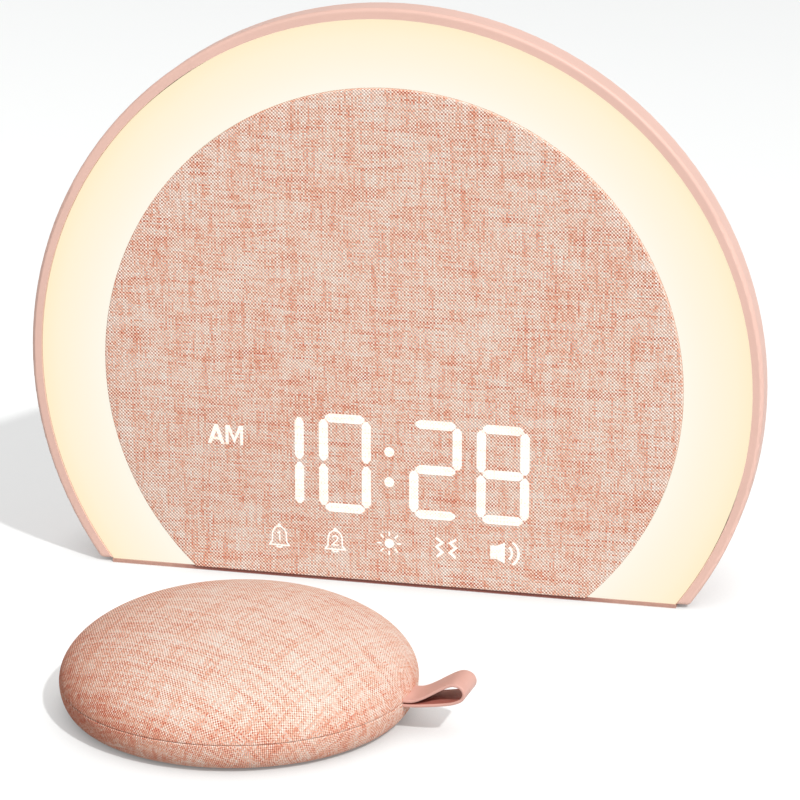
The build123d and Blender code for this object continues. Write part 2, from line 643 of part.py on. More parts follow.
def speaker_basket():
    """The pressed frame: flange, sloping wall and floor."""
    flange_back = SPEAKER_SEAT + SPEAKER_FLANGE_THICK
    floor = MAGNET_FRONT - BASKET_WALL
    flange = speaker_drum(SPEAKER_RADIUS, SPEAKER_SEAT, flange_back)
    wall = funnel(SPEAKER_OPENING + BASKET_WALL, BASKET_FLOOR_RADIUS + BASKET_WALL, flange_back, MAGNET_FRONT)
    hollow = funnel(SPEAKER_OPENING, BASKET_FLOOR_RADIUS, flange_back, floor)
    hole = speaker_drum(COIL_RADIUS + COIL_WALL + RUN, SPEAKER_SEAT, MAGNET_FRONT + OVERRUN)
    return flange + wall - hollow - hole - speaker_drum(SPEAKER_OPENING, SPEAKER_SEAT - OVERRUN, flange_back)


def speaker_magnet():
    """The magnet with the round gap that the coil moves in."""
    body = speaker_drum(MAGNET_RADIUS, MAGNET_FRONT, MAGNET_FRONT + MAGNET_THICK)
    gap = speaker_drum(COIL_RADIUS + COIL_WALL + RUN, MAGNET_FRONT, MAGNET_FRONT + COIL_GAP_DEPTH)
    core = speaker_drum(COIL_RADIUS - RUN, MAGNET_FRONT, MAGNET_FRONT + COIL_GAP_DEPTH)
    return body - (gap - core)


def speaker_cone():
    """The paper cone with its coil former."""
    edge = SURROUND_INNER - RUN
    front = SPEAKER_SEAT + SPEAKER_FLANGE_THICK
    throat = MAGNET_FRONT - BASKET_WALL - 2 * CONE_TRAVEL - CONE_THICK
    outer = COIL_RADIUS + COIL_WALL
    rim = speaker_drum(edge, front, front + CONE_THICK) - speaker_drum(edge - CONE_LIP, front, front + CONE_THICK)
    paper = funnel(edge - CONE_LIP, outer, front + CONE_THICK, throat + CONE_THICK)
    paper += speaker_drum(edge - CONE_LIP, front, front + CONE_THICK)
    paper -= funnel(edge - CONE_LIP, outer, front, throat)
    former = speaker_drum(outer, throat, MAGNET_FRONT + COIL_REACH)
    return rim + paper + former - speaker_drum(COIL_RADIUS, front - OVERRUN, MAGNET_FRONT + COIL_REACH + OVERRUN)


def speaker_surround():
    """The rubber roll between the basket's flange and the cone."""
    front = SPEAKER_SEAT + SPEAKER_FLANGE_THICK
    middle = (SURROUND_INNER + SPEAKER_OPENING) / 2
    half = SURROUND_WIDTH / 2
    crown = (middle, SPEAKER_SEAT - half + SPEAKER_FLANGE_THICK)
    inner_crown = (middle, crown[1] + SURROUND_THICK)
    start, end = (SURROUND_INNER, front), (SPEAKER_OPENING, front)
    outer = ThreePointArc(start, crown, end)
    inner = ThreePointArc((end[0] - SURROUND_THICK, front), inner_crown, (start[0] + SURROUND_THICK, front))
    feet = [Line(end, (end[0] - SURROUND_THICK, front)), Line((start[0] + SURROUND_THICK, front), start)]
    face = make_face([outer.edge(), feet[0].edge(), inner.edge(), feet[1].edge()])
    return Pos(0, 0, SPEAKER_Z) * revolve(face, Axis.Y)


# Rear housing and what is in it


def snooze_frame():
    """The plane on the flank under the snooze bar, with its normal pointing out."""
    depth = RIM_BACK + SNOOZE_DEPTH_SHARE * (BACK - RIM_BACK)
    height = DIAL_Z + HOUSING_FRONT_RADIUS - (depth - RIM_BACK) * FLANK_SLOPE
    return Plane((0, depth, height), x_dir=(1, 0, 0), z_dir=(0, math.sin(FLANK_ANGLE), math.cos(FLANK_ANGLE)))


def snooze_column(grow):
    """A straight column along the snooze bar's travel, its outline moved out by grow."""
    outline = RectangleRounded(SNOOZE_LENGTH + 2 * grow, SNOOZE_WIDTH + 2 * grow, SNOOZE_CORNER + grow)
    return extrude(snooze_frame() * outline, amount=SNOOZE_BOARD_DROP, both=True)


def snooze_posts(radius, low, high):
    """Two round columns beside the snooze bar, between two heights over the flank."""
    reach = SNOOZE_LENGTH / 2 + SNOOZE_LIP + SNOOZE_POST_GAP + SNOOZE_POST_RADIUS
    column = Cylinder(radius, high - low, align=(Align.CENTER, Align.CENTER, Align.MIN))
    return [snooze_frame() * Pos(side * reach, 0, low) * column for side in (-1, 1)]


def door_sector(radius, front, back, spare_deg, turn_deg):
    """The two tabs of the coin cell's door as sectors, turned about its middle."""
    tabs = []
    for side in (0, 180):
        start = side + turn_deg - DOOR_TAB_DEG / 2 - spare_deg
        sweep = DOOR_TAB_DEG + 2 * spare_deg
        arc = CenterArc((0, 0), radius, start, sweep)
        face = make_face([arc.edge(), Line((0, 0), arc @ 0).edge(), Line((0, 0), arc @ 1).edge()])
        tabs.append(plate(Pos(0, DOOR_Z) * face, front, back))
    return tabs


def key_places():
    """X of the keys in the row, left to right seen from the front."""
    first = -KEY_PITCH * (len(KEY_NAMES) - 1) / 2
    return [first + number * KEY_PITCH for number in range(len(KEY_NAMES))]


def board_post_places():
    """X and Z of the posts that carry the main board."""
    side = BOARD_WIDTH / 2 - BOARD_POST_INSET
    heights = (BOARD_LOW_Z + BOARD_POST_INSET, BOARD_HIGH_Z - BOARD_POST_INSET)
    return [(sign * side, z) for sign in (-1, 1) for z in heights]


def usb_outline(grow):
    """The rounded slot of the power socket, moved out by grow."""
    return SlotOverall(USB_WIDTH + 2 * grow, USB_HEIGHT + 2 * grow)


def rear_housing():
    """The bowl behind the rim, flat underneath, with openings for all that is worked from behind."""
    outside = bowl(0) & above(FOOT_THICK)
    slants = [edge for edge in outside.edges().filter_by(GeomType.LINE, reverse=True)
              if abs(edge.center().Z - FOOT_THICK) < SLIP and abs(edge.center().X) > DIAL_RADIUS / 4]
    outside = fillet(slants, HOUSING_CORNER)
    inside = bowl(-HOUSING_WALL, RIM_BACK - OVERRUN) & above(FOOT_THICK + HOUSING_WALL)
    body = outside - inside
    # Screw bosses, hollow from behind down to the floor under each screw head
    well = SCREW_HEAD_RADIUS + RUN
    for x, z in screw_places():
        body += drum(well + BOSS_WALL, CHASSIS_BACK, WALL_INSIDE, x, z)
    # Posts for the main board and the snooze board
    for x, z in board_post_places():
        body += drum(BOARD_POST_RADIUS, BOARD_BACK, WALL_INSIDE, x, z)
    body += [column & bowl(-HOUSING_WALL / 2) for column in snooze_posts(SNOOZE_POST_RADIUS, -SNOOZE_BOARD_DROP, 0)]
    for x, z in screw_places():
        body -= drum(well, CHASSIS_BACK + BOSS_FLOOR, BACK + OVERRUN, x, z)
        body -= drum(SCREW_RADIUS + SLIP, CHASSIS_BACK - OVERRUN, BACK, x, z)
    # Openings for the keys, the snooze bar, the coin cell and the power socket
    for x in key_places():
        body -= drum(KEY_RADIUS + RUN, WALL_INSIDE - OVERRUN, BACK + OVERRUN, x, KEY_Z)
    body -= snooze_column(RUN)
    body -= drum(DOOR_RADIUS + SLIP, WALL_INSIDE - SLIP, BACK + OVERRUN, 0, DOOR_Z)
    spare = math.degrees(SLIP / DOOR_RADIUS)
    for notch in door_sector(DOOR_RADIUS + DOOR_TAB_REACH + SLIP, WALL_INSIDE - SLIP, BACK + OVERRUN, spare, DOOR_TURN_DEG):
        body -= notch
    body -= plate(Pos(0, USB_Z) * usb_outline(SLIP), WALL_INSIDE - OVERRUN, BACK + OVERRUN)
    # Vents, pinhole and a bare label recess
    slot = SlotOverall(VENT_LENGTH, VENT_WIDTH)
    vents = []
    for side in (-1, 1):
        for number in range(VENT_COUNT):
            z = VENT_Z - VENT_PITCH * (number - (VENT_COUNT - 1) / 2)
            vents.append(Pos(side * VENT_X, z) * slot)
    body -= plate(Sketch() + vents, WALL_INSIDE - SLIP, BACK + OVERRUN)
    body -= drum(RESET_RADIUS, WALL_INSIDE - SLIP, BACK + OVERRUN, RESET_X, USB_Z)
    return body - plate(Pos(0, LABEL_Z) * RectangleRounded(LABEL_WIDTH, LABEL_HEIGHT, VENT_WIDTH),
                        BACK - LABEL_DEPTH, BACK + OVERRUN)


def housing_screws():
    """The screws at the bottom of the bosses, with hexagon sockets."""
    head_front = CHASSIS_BACK + BOSS_FLOOR
    screws = []
    for x, z in screw_places():
        head = drum(SCREW_HEAD_RADIUS, head_front, head_front + SCREW_HEAD_THICK, x, z)
        shank = drum(SCREW_RADIUS, head_front + SLIP - SCREW_LENGTH, head_front, x, z)
        hexagon = Pos(x, z) * RegularPolygon(SOCKET_RADIUS, 6)
        socket = plate(hexagon, head_front + SCREW_HEAD_THICK - SOCKET_DEPTH, head_front + SCREW_HEAD_THICK + SLIP)
        screws.append(head + shank - socket)
    return screws


def back_key(x):
    """A round key: cap through the back, lip inside, stem down to its switch."""
    lip_back = WALL_INSIDE - SLIP
    cap = drum(KEY_RADIUS, lip_back, BACK + KEY_PROUD, x, KEY_Z)
    cap = fillet(cap.edges().group_by(Axis.Y)[-1], KEY_EDGE)
    lip = drum(KEY_RADIUS + RUN + KEY_FLANGE, lip_back - KEY_FLANGE, lip_back, x, KEY_Z)
    stem = drum(KEY_STEM, BOARD_BACK + SWITCH_FLOOR + KEY_TRAVEL + SLIP, lip_back - KEY_FLANGE, x, KEY_Z)
    return cap + lip + stem


def key_switches():
    """The switches under the keys, each with a hole that the key's stem works in."""
    bodies = []
    for x in key_places():
        body = block(centred(x, SWITCH_SIZE), (BOARD_BACK, BOARD_BACK + SWITCH_THICK), centred(KEY_Z, SWITCH_SIZE))
        bodies.append(body - drum(KEY_STEM + RUN, BOARD_BACK + SWITCH_FLOOR, BACK, x, KEY_Z))
    return bodies


def snooze_bar():
    """The long key on top: a curved cap, a lip inside and a stem."""
    lip_top = -HOUSING_WALL - SLIP
    lip_low = lip_top - SNOOZE_LIP_THICK
    cap = (snooze_column(0) & bowl(SNOOZE_PROUD)) - bowl(lip_low, RIM_BACK - OVERRUN)
    lip = (snooze_column(SNOOZE_LIP) & bowl(lip_top)) - bowl(lip_low, RIM_BACK - OVERRUN)
    stem_low = SWITCH_FLOOR + SNOOZE_TRAVEL + SLIP - SNOOZE_BOARD_DROP
    stem = Cylinder(SNOOZE_STEM, lip_top - stem_low, align=(Align.CENTER, Align.CENTER, Align.MIN))
    return cap + lip + snooze_frame() * Pos(0, 0, stem_low) * stem


def snooze_board():
    """The narrow board under the snooze bar."""
    reach = SNOOZE_LENGTH / 2 + SNOOZE_LIP + SNOOZE_POST_GAP + 2 * SNOOZE_POST_RADIUS
    shape = Box(2 * reach, SNOOZE_BOARD_WIDTH, BOARD_THICK, align=(Align.CENTER, Align.CENTER, Align.MAX))
    return snooze_frame() * Pos(0, 0, -SNOOZE_BOARD_DROP) * shape


def snooze_switch():
    """The switch on that board, with a hole for the stem."""
    shape = Box(SWITCH_SIZE, SWITCH_SIZE, SWITCH_THICK, align=(Align.CENTER, Align.CENTER, Align.MIN))
    hole = Pos(0, 0, SWITCH_FLOOR) * Cylinder(SNOOZE_STEM + RUN, SWITCH_THICK,
                                              align=(Align.CENTER, Align.CENTER, Align.MIN))
    return snooze_frame() * Pos(0, 0, -SNOOZE_BOARD_DROP) * (shape - hole)


def main_board():
    """The big board parallel to the back."""
    return block(centred(0, BOARD_WIDTH), (BOARD_FRONT, BOARD_BACK), (BOARD_LOW_Z, BOARD_HIGH_Z))


def board_place(shares):
    """X and Z on the main board from shares of the dial's radius."""
    return shares[0] * DIAL_RADIUS, FOOT_THICK + shares[1] * DIAL_RADIUS


def radio_module():
    """The shielded radio that calls the puck."""
    x, z = board_place(RADIO_SHARES)
    width, thick, height = RADIO_SIZE
    return block(centred(x, width), (BOARD_FRONT - thick, BOARD_FRONT), centred(z, height))


def board_chips():
    """The larger chips on the front of the main board."""
    chips = []
    for (width, thick, height), shares in zip(CHIP_SIZES, CHIP_SHARES):
        x, z = board_place(shares)
        chips.append(block(centred(x, width), (BOARD_FRONT - thick, BOARD_FRONT), centred(z, height)))
    return chips


def display_ribbon():
    """The flat cable from the display board to the main board."""
    low_z = DIGIT_BASE_Z + DIGIT_HEIGHT / 2
    start = CHASSIS_BACK + DISPLAY_BOARD_THICK
    return block(centred(RIBBON_X, RIBBON_WIDTH), (start, BOARD_FRONT), centred(low_z, RIBBON_THICK))


def cell_cup():
    """The holder of the coin cell on the main board."""
    deep = CUP_FLOOR + CELL_THICK
    cup = drum(CELL_RADIUS + SLIP + CUP_WALL, BOARD_BACK, BOARD_BACK + deep, 0, DOOR_Z)
    return cup - drum(CELL_RADIUS + SLIP, BOARD_BACK + CUP_FLOOR, BACK, 0, DOOR_Z)


def coin_cell():
    """The cell that keeps the time through a power cut."""
    low = BOARD_BACK + CUP_FLOOR
    return drum(CELL_RADIUS, low, low + CELL_THICK, 0, DOOR_Z)


def cell_door():
    """The round door over the cell: a coin slot outside and two tabs behind the wall."""
    tab_back = WALL_INSIDE - SLIP
    lid = drum(DOOR_RADIUS, tab_back - DOOR_TAB_THICK, BACK, 0, DOOR_Z)
    for tab in door_sector(DOOR_RADIUS + DOOR_TAB_REACH, tab_back - DOOR_TAB_THICK, tab_back, 0, 0):
        lid += tab
    slot = Pos(0, DOOR_Z) * SlotOverall(COIN_SLOT_LENGTH, COIN_SLOT_WIDTH)
    return lid - plate(slot, BACK - COIN_SLOT_DEPTH, BACK + OVERRUN)


def power_socket():
    """The power socket: a drawn shell with a contact tongue in its mouth."""
    mouth = BACK - USB_RECESS
    shell = plate(Pos(0, USB_Z) * usb_outline(0), BOARD_BACK, mouth)
    shell -= plate(Pos(0, USB_Z) * usb_outline(-USB_WALL), mouth - USB_DEPTH, mouth + OVERRUN)
    tongue = block(centred(0, USB_TONGUE_WIDTH), (mouth - USB_DEPTH, mouth - USB_DEPTH + USB_TONGUE_REACH),
                   centred(USB_Z, USB_TONGUE_THICK))
    return shell + tongue


def foot_pad():
    """The soft pad that the clock stands on, following the flat bottom."""
    def half(radius):
        return math.sqrt(radius**2 - DIAL_RISE**2) - PAD_INSET

    behind = BACK - PAD_BACK_INSET
    back_radius = HOUSING_FRONT_RADIUS - (behind - RIM_BACK) * FLANK_SLOPE
    right = [(half(DIAL_RADIUS), FRONT), (half(DIAL_RADIUS), CHASSIS_BACK),
             (half(HOUSING_FRONT_RADIUS), RIM_BACK), (half(back_radius), behind)]
    corners = right + [(-x, y) for x, y in reversed(right)]
    outline = make_face(Polyline(*corners, close=True).edges())
    outline = fillet(outline.vertices().group_by(Axis.Y)[-1], PAD_CORNER)
    return extrude(outline, amount=FOOT_THICK)


# Puck, drawn about its own middle with the strap along +X, then set on the table


def place(shape):
    """Sets a puck piece on the table in front of the clock."""
    return Pos(PUCK_X, PUCK_Y, 0) * Rot(0, 0, PUCK_TURN_DEG) * shape


def oval(x, y, wide, tall, start_deg):
    """A quarter of an ellipse about a point, from an angle on, as a smooth curve through its points."""
    angles = [math.radians(start_deg + 90 * number / OVAL_STEPS) for number in range(OVAL_STEPS + 1)]
    points = [(x + wide * math.cos(angle), y + tall * math.sin(angle)) for angle in angles]
    ends = [(-wide * math.sin(angle), tall * math.cos(angle)) for angle in (angles[0], angles[-1])]
    return Spline(*points, tangents=ends)


def dome_face(inset):
    """Half section of the dome above the seam, moved in by inset: radius along X, height along Y."""
    wide, tall = PUCK_RADIUS - inset, PUCK_HEIGHT - PUCK_SEAM_Z - inset
    curve = oval(0, PUCK_SEAM_Z, wide, tall, 0)
    rest = Polyline((0, PUCK_SEAM_Z + tall), (0, PUCK_SEAM_Z), (wide, PUCK_SEAM_Z))
    return make_face(curve.edges() + rest.edges())


def tray_face(inset):
    """Half section of the part under the seam, moved in by inset."""
    wide = PUCK_RADIUS - PUCK_FOOT_RADIUS - inset / 2
    foot = PUCK_FOOT_RADIUS - inset / 2
    low = PUCK_PAD_PROUD + inset
    curve = oval(foot, PUCK_SEAM_Z, wide, PUCK_SEAM_Z - low, 270)
    rest = Polyline((foot + wide, PUCK_SEAM_Z), (0, PUCK_SEAM_Z), (0, low), (foot, low))
    return make_face(curve.edges() + rest.edges())


def seam_face(low, high):
    """The strip of a half section between two heights."""
    return Pos(0, low) * Rectangle(2 * PUCK_RADIUS, high - low, align=(Align.MIN, Align.MIN))


def turned(section):
    """A half section turned about the puck's middle."""
    return Rot(90, 0, 0) * revolve(section, Axis.Y)


def strap_slot(grow):
    """The way through the puck's edge for the strap."""
    high = STRAP_THICK + STRAP_PLY_GAP / 2 + grow
    return block((PUCK_RADIUS - STRAP_INSIDE - grow, PUCK_RADIUS + OVERRUN), centred(0, STRAP_WIDTH + 2 * grow),
                 (PUCK_SEAM_Z - high, PUCK_SEAM_Z + high))


def puck_screw_places():
    """X and Y of the puck's screws."""
    angles = [math.radians(degrees) for degrees in PUCK_SCREW_ANGLES]
    return [(PUCK_SCREW_CIRCLE * math.cos(angle), PUCK_SCREW_CIRCLE * math.sin(angle)) for angle in angles]


def puck_top_cloth():
    """The cloth over the dome."""
    seam = seam_face(0, PUCK_SEAM_Z + PUCK_SEAM_GAP / 2)
    return turned(dome_face(0) - dome_face(PUCK_CLOTH) - seam) - strap_slot(SLIP)


def puck_lower_cloth():
    """The cloth under the seam, turned in beneath as far as the grip pad."""
    seam = seam_face(PUCK_SEAM_Z - PUCK_SEAM_GAP / 2, PUCK_HEIGHT)
    body = turned(tray_face(0) - tray_face(PUCK_CLOTH) - seam)
    body -= post(PAD_OUTER_RADIUS + SLIP, 0, PUCK_SHELL_LOW + SLIP)
    return body - strap_slot(SLIP) - puck_port(RUN)


def puck_top_shell():
    """The hard dome under the cloth, with bosses for the screws."""
    shell = turned(dome_face(PUCK_CLOTH) - dome_face(PUCK_CLOTH + PUCK_WALL))
    for x, y in puck_screw_places():
        shell += post(PUCK_BOSS_RADIUS, PUCK_SEAM_Z, PUCK_HEIGHT, x, y) & turned(dome_face(PUCK_CLOTH))
    for x, y in puck_screw_places():
        shell -= post(PUCK_SCREW_RADIUS, 0, PUCK_SHELL_LOW + PUCK_HEAD_THICK + PUCK_SCREW_LENGTH + SLIP, x, y)
    return shell - strap_slot(SLIP)


def puck_board_posts():
    """X and Y of the posts that carry the puck's board."""
    side = PUCK_BOARD_WIDTH / 2 - PUCK_POST_INSET
    lengths = (PUCK_BOARD_NEAR + PUCK_POST_INSET, PUCK_BOARD_FAR - PUCK_POST_INSET)
    return [(sign * side, y) for sign in (-1, 1) for y in lengths]


def puck_port(grow):
    """The straight way out for the plug, past the far edge of the board."""
    slot = usb_outline(grow)
    middle = PUCK_BOARD_Z - USB_HEIGHT / 2
    plane = Plane((0, PUCK_RADIUS + OVERRUN, middle), x_dir=(1, 0, 0), z_dir=(0, -1, 0))
    return extrude(plane * slot, amount=OVERRUN + PUCK_USB_RECESS + PUCK_WALL + USB_LENGTH)


def puck_base_shell():
    """The hard tray under the seam: posts, bosses, and holes for button, light and plug."""
    body = turned(tray_face(PUCK_CLOTH) - tray_face(PUCK_CLOTH + PUCK_WALL))
    for x, y in puck_screw_places():
        body += post(PUCK_BOSS_RADIUS, PUCK_SHELL_LOW, PUCK_SEAM_Z, x, y)
    for x, y in puck_board_posts():
        body += post(PUCK_POST_RADIUS, PUCK_SHELL_LOW, PUCK_BOARD_Z, x, y)
    for x, y in puck_screw_places():
        body -= post(PUCK_HEAD_RADIUS + SLIP, 0, PUCK_SHELL_LOW + PUCK_HEAD_THICK, x, y)
        body -= post(PUCK_SCREW_RADIUS + SLIP, 0, PUCK_SEAM_Z + OVERRUN, x, y)
    body -= post(BUTTON_RADIUS + RUN, 0, PUCK_FLOOR + SLIP)
    body -= post(PIPE_RADIUS + SLIP, 0, PUCK_FLOOR + SLIP, PIPE_X)
    body -= puck_port(RUN)
    pin_x = PUCK_RADIUS - PIN_INSET
    body += post(PIN_RADIUS + PIN_BOSS_WALL, PUCK_SHELL_LOW + PUCK_WALL / 2, PUCK_SEAM_Z, pin_x)
    body -= post(PIN_RADIUS, PUCK_FLOOR, PUCK_HEIGHT, pin_x)
    return body - strap_slot(SLIP)


def puck_grip_pad():
    """The ring of silicone that the puck lies on."""
    return post(PAD_OUTER_RADIUS, 0, PUCK_SHELL_LOW) - post(PAD_INNER_RADIUS, 0, PUCK_SHELL_LOW)


def puck_screws():
    """The screws under the grip pad that hold the two shells together."""
    screws = []
    for x, y in puck_screw_places():
        neck = PUCK_SHELL_LOW + PUCK_HEAD_THICK
        screws.append(post(PUCK_HEAD_RADIUS, PUCK_SHELL_LOW, neck, x, y)
                      + post(PUCK_SCREW_RADIUS, neck, neck + PUCK_SCREW_LENGTH, x, y))
    return screws


def puck_button():
    """The power button in the middle of the underside, with a lip inside and a stem."""
    lip_low = PUCK_FLOOR + SLIP
    face = post(BUTTON_RADIUS, BUTTON_SHY, lip_low)
    face = fillet(face.edges().group_by(Axis.Z)[0], KEY_EDGE)
    lip = post(BUTTON_RADIUS + RUN + BUTTON_LIP, lip_low, lip_low + BUTTON_LIP / 2)
    stem = post(BUTTON_STEM, lip_low, PUCK_BOARD_Z - PUCK_SWITCH_ROOF - BUTTON_TRAVEL - SLIP)
    return face + lip + stem


def puck_switch():
    """The switch over the button, hanging under the board."""
    low = PUCK_BOARD_Z - PUCK_SWITCH_THICK
    body = block(centred(0, PUCK_SWITCH_SIZE), centred(0, PUCK_SWITCH_SIZE), (low, PUCK_BOARD_Z))
    return body - post(BUTTON_STEM + RUN, 0, PUCK_BOARD_Z - PUCK_SWITCH_ROOF)


def light_pipe():
    """The clear rod that shows the charging light underneath."""
    return post(PIPE_RADIUS, BUTTON_SHY, PUCK_BOARD_Z, PIPE_X)


def puck_board():
    """The puck's board, on four posts."""
    return block(centred(0, PUCK_BOARD_WIDTH), (PUCK_BOARD_NEAR, PUCK_BOARD_FAR),
                 (PUCK_BOARD_Z, PUCK_BOARD_Z + PUCK_BOARD_THICK))


def puck_chips():
    """Radio chip and motor driver beside the battery."""
    low = PUCK_BOARD_Z + PUCK_BOARD_THICK
    width, breadth, high = PUCK_CHIP_SIZE
    return [block(centred(side * width, width), centred(PUCK_CHIP_Y, breadth), (low, low + high)) for side in (-1, 1)]


def puck_battery():
    """The flat rechargeable cell on top of the board."""
    low = PUCK_BOARD_Z + PUCK_BOARD_THICK
    shape = block(centred(0, CELL_LENGTH), centred(CELL_Y, CELL_BREADTH), (low, low + CELL_HEIGHT))
    return fillet(shape.edges().filter_by(Axis.X), CELL_HEIGHT / 4)


def puck_socket():
    """The puck's charging socket under the far edge of the board."""
    mouth = PUCK_RADIUS - PUCK_USB_RECESS - PUCK_WALL
    middle = PUCK_BOARD_Z - USB_HEIGHT / 2
    plane = Plane((0, mouth, middle), x_dir=(1, 0, 0), z_dir=(0, -1, 0))
    shell = extrude(plane * usb_outline(0), amount=USB_LENGTH)
    shell -= extrude(plane * usb_outline(-USB_WALL), amount=USB_DEPTH)
    tongue = block(centred(0, USB_TONGUE_WIDTH), (mouth - USB_DEPTH, mouth - USB_DEPTH + USB_TONGUE_REACH),
                   centred(middle, USB_TONGUE_THICK))
    return shell + tongue


# Vibration motor


def along_x(radius, low, high):
    """A cylinder along X on the motor's axis."""
    shape = Cylinder(radius, high - low, align=(Align.CENTER, Align.CENTER, Align.MIN))
    return Pos(low, MOTOR_Y, MOTOR_Z) * Rot(0, 90, 0) * shape


MOTOR_HIGH_X = MOTOR_LOW_X + MOTOR_LENGTH


def vibration_motor():
    """The motor can, with the bearing that its shaft turns in."""
    can = along_x(MOTOR_RADIUS, MOTOR_LOW_X, MOTOR_HIGH_X)
    return can - along_x(SHAFT_RADIUS + SHAFT_FIT, MOTOR_HIGH_X - SHAFT_SEAT - SLIP, MOTOR_HIGH_X + OVERRUN)


def motor_shaft():
    """The shaft that the weight is pressed on."""
    return along_x(SHAFT_RADIUS, MOTOR_HIGH_X - SHAFT_SEAT, MOTOR_HIGH_X + SHAFT_LENGTH)


def swing_weight():
    """The half disc that shakes the puck as it turns."""
    low = MOTOR_HIGH_X + WEIGHT_GAP
    disc = along_x(WEIGHT_RADIUS, low, low + WEIGHT_THICK)
    lower = block((low, low + WEIGHT_THICK), centred(MOTOR_Y, 2 * WEIGHT_RADIUS), (MOTOR_Z - WEIGHT_RADIUS, MOTOR_Z))
    return (disc & lower) + along_x(WEIGHT_HUB, low, low + WEIGHT_THICK) - along_x(SHAFT_RADIUS, low, low + WEIGHT_THICK)


def bracket_span():
    """Low and high X of the bracket and the cradle under it."""
    low = MOTOR_LOW_X + BRACKET_INSET
    return (low, low + BRACKET_WIDTH)


def motor_bracket():
    """The strap of sheet that clamps the motor to the floor of the puck."""
    across = bracket_span()
    outer = MOTOR_RADIUS + SLIP + BRACKET_THICK
    hoop = along_x(outer, *across)
    walls = block(across, centred(MOTOR_Y, 2 * outer), (PUCK_FLOOR, MOTOR_Z))
    feet = block(across, centred(MOTOR_Y, 2 * (outer + BRACKET_FOOT)), (PUCK_FLOOR, PUCK_FLOOR + BRACKET_THICK))
    under = block(across, centred(MOTOR_Y, 2 * (MOTOR_RADIUS + SLIP)), (0, MOTOR_Z))
    shape = (hoop + walls + feet) & post(PUCK_RADIUS, PUCK_FLOOR, PUCK_HEIGHT)
    return shape - along_x(MOTOR_RADIUS + SLIP, *across) - under


def motor_cradle():
    """The soft block under the motor."""
    across = bracket_span()
    body = block(across, centred(MOTOR_Y, 2 * MOTOR_RADIUS), (PUCK_FLOOR, MOTOR_Z - MOTOR_RADIUS / 2))
    return body - along_x(MOTOR_RADIUS, *across)


# Strap


def strap_loop():
    """The strap: out of the seam, round in a drop-shaped loop and back in."""
    layer = (STRAP_THICK + STRAP_PLY_GAP) / 2
    inside = -STRAP_INSIDE
    route = [(inside, -layer), (STRAP_REACH * STRAP_LOW_BEND_SHARE, -layer),
             (STRAP_REACH, STRAP_RISE * STRAP_LOW_RISE_SHARE), (STRAP_REACH * STRAP_BACK_SHARE, STRAP_RISE),
             (STRAP_REACH * STRAP_HIGH_BEND_SHARE, layer), (inside, layer)]
    radii = [STRAP_BEND_RADIUS, STRAP_TIP_RADIUS, STRAP_TIP_RADIUS, STRAP_BEND_RADIUS]
    line = FilletPolyline(*route, radius=radii)
    side = Plane((PUCK_RADIUS, STRAP_WIDTH / 2, PUCK_SEAM_Z), x_dir=(1, 0, 0), z_dir=(0, -1, 0))
    band = extrude(side * trace(line, STRAP_THICK), amount=STRAP_WIDTH)
    return band - post(PIN_RADIUS + SLIP, 0, PUCK_HEIGHT, PUCK_RADIUS - PIN_INSET)


def strap_pin():
    """The pin through both ends of the strap."""
    return post(PIN_RADIUS, PUCK_FLOOR, PUCK_SEAM_Z + 2 * STRAP_THICK, PUCK_RADIUS - PIN_INSET)


def main():
    os.makedirs("parts", exist_ok=True)
    save("front_frame", front_frame())
    save("light_diffuser", diffuser())
    save("light_tray_chassis", chassis())
    save("ring_light_board", ring_board())
    save("ring_lamps", *ring_leds())
    save("front_panel", front_panel())
    save("front_cloth", front_cloth())
    save("display_reflector", display_reflector())
    save("display_lenses", *display_lenses())
    save("display_board", display_board())
    save("display_lamps", *display_leds())
    save("speaker_basket", speaker_basket())
    save("speaker_magnet", speaker_magnet())
    save("speaker_cone", speaker_cone())
    save("speaker_surround", speaker_surround())
    save("rear_housing", rear_housing())
    save("housing_screws", *housing_screws())
    for name, x in zip(KEY_NAMES, key_places()):
        save(name, back_key(x))
    save("key_switches", *key_switches())
    save("snooze_bar", snooze_bar())
    save("snooze_board", snooze_board())
    save("snooze_switch", snooze_switch())
    save("main_board", main_board())
    save("radio_module", radio_module())
    save("board_chips", *board_chips())
    save("display_ribbon", display_ribbon())
    save("cell_cup", cell_cup())
    save("coin_cell", coin_cell())
    save("cell_door", cell_door())
    save("power_socket", power_socket())
    save("foot_pad", foot_pad())
    puck = {
        "puck_top_cloth": [puck_top_cloth()], "puck_lower_cloth": [puck_lower_cloth()],
        "puck_top_shell": [puck_top_shell()], "puck_base_shell": [puck_base_shell()],
        "puck_grip_pad": [puck_grip_pad()], "puck_screws": puck_screws(), "puck_button": [puck_button()],
        "puck_switch": [puck_switch()], "puck_light_pipe": [light_pipe()], "puck_board": [puck_board()],
        "puck_chips": puck_chips(), "puck_battery": [puck_battery()], "puck_socket": [puck_socket()],
        "vibration_motor": [vibration_motor()], "motor_shaft": [motor_shaft()], "swing_weight": [swing_weight()],
        "motor_bracket": [motor_bracket()], "motor_cradle": [motor_cradle()],
        "strap_loop": [strap_loop()], "strap_pin": [strap_pin()],
    }
    for name, shapes in puck.items():
        save(name, *[place(shape) for shape in shapes])


main()
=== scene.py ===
import math

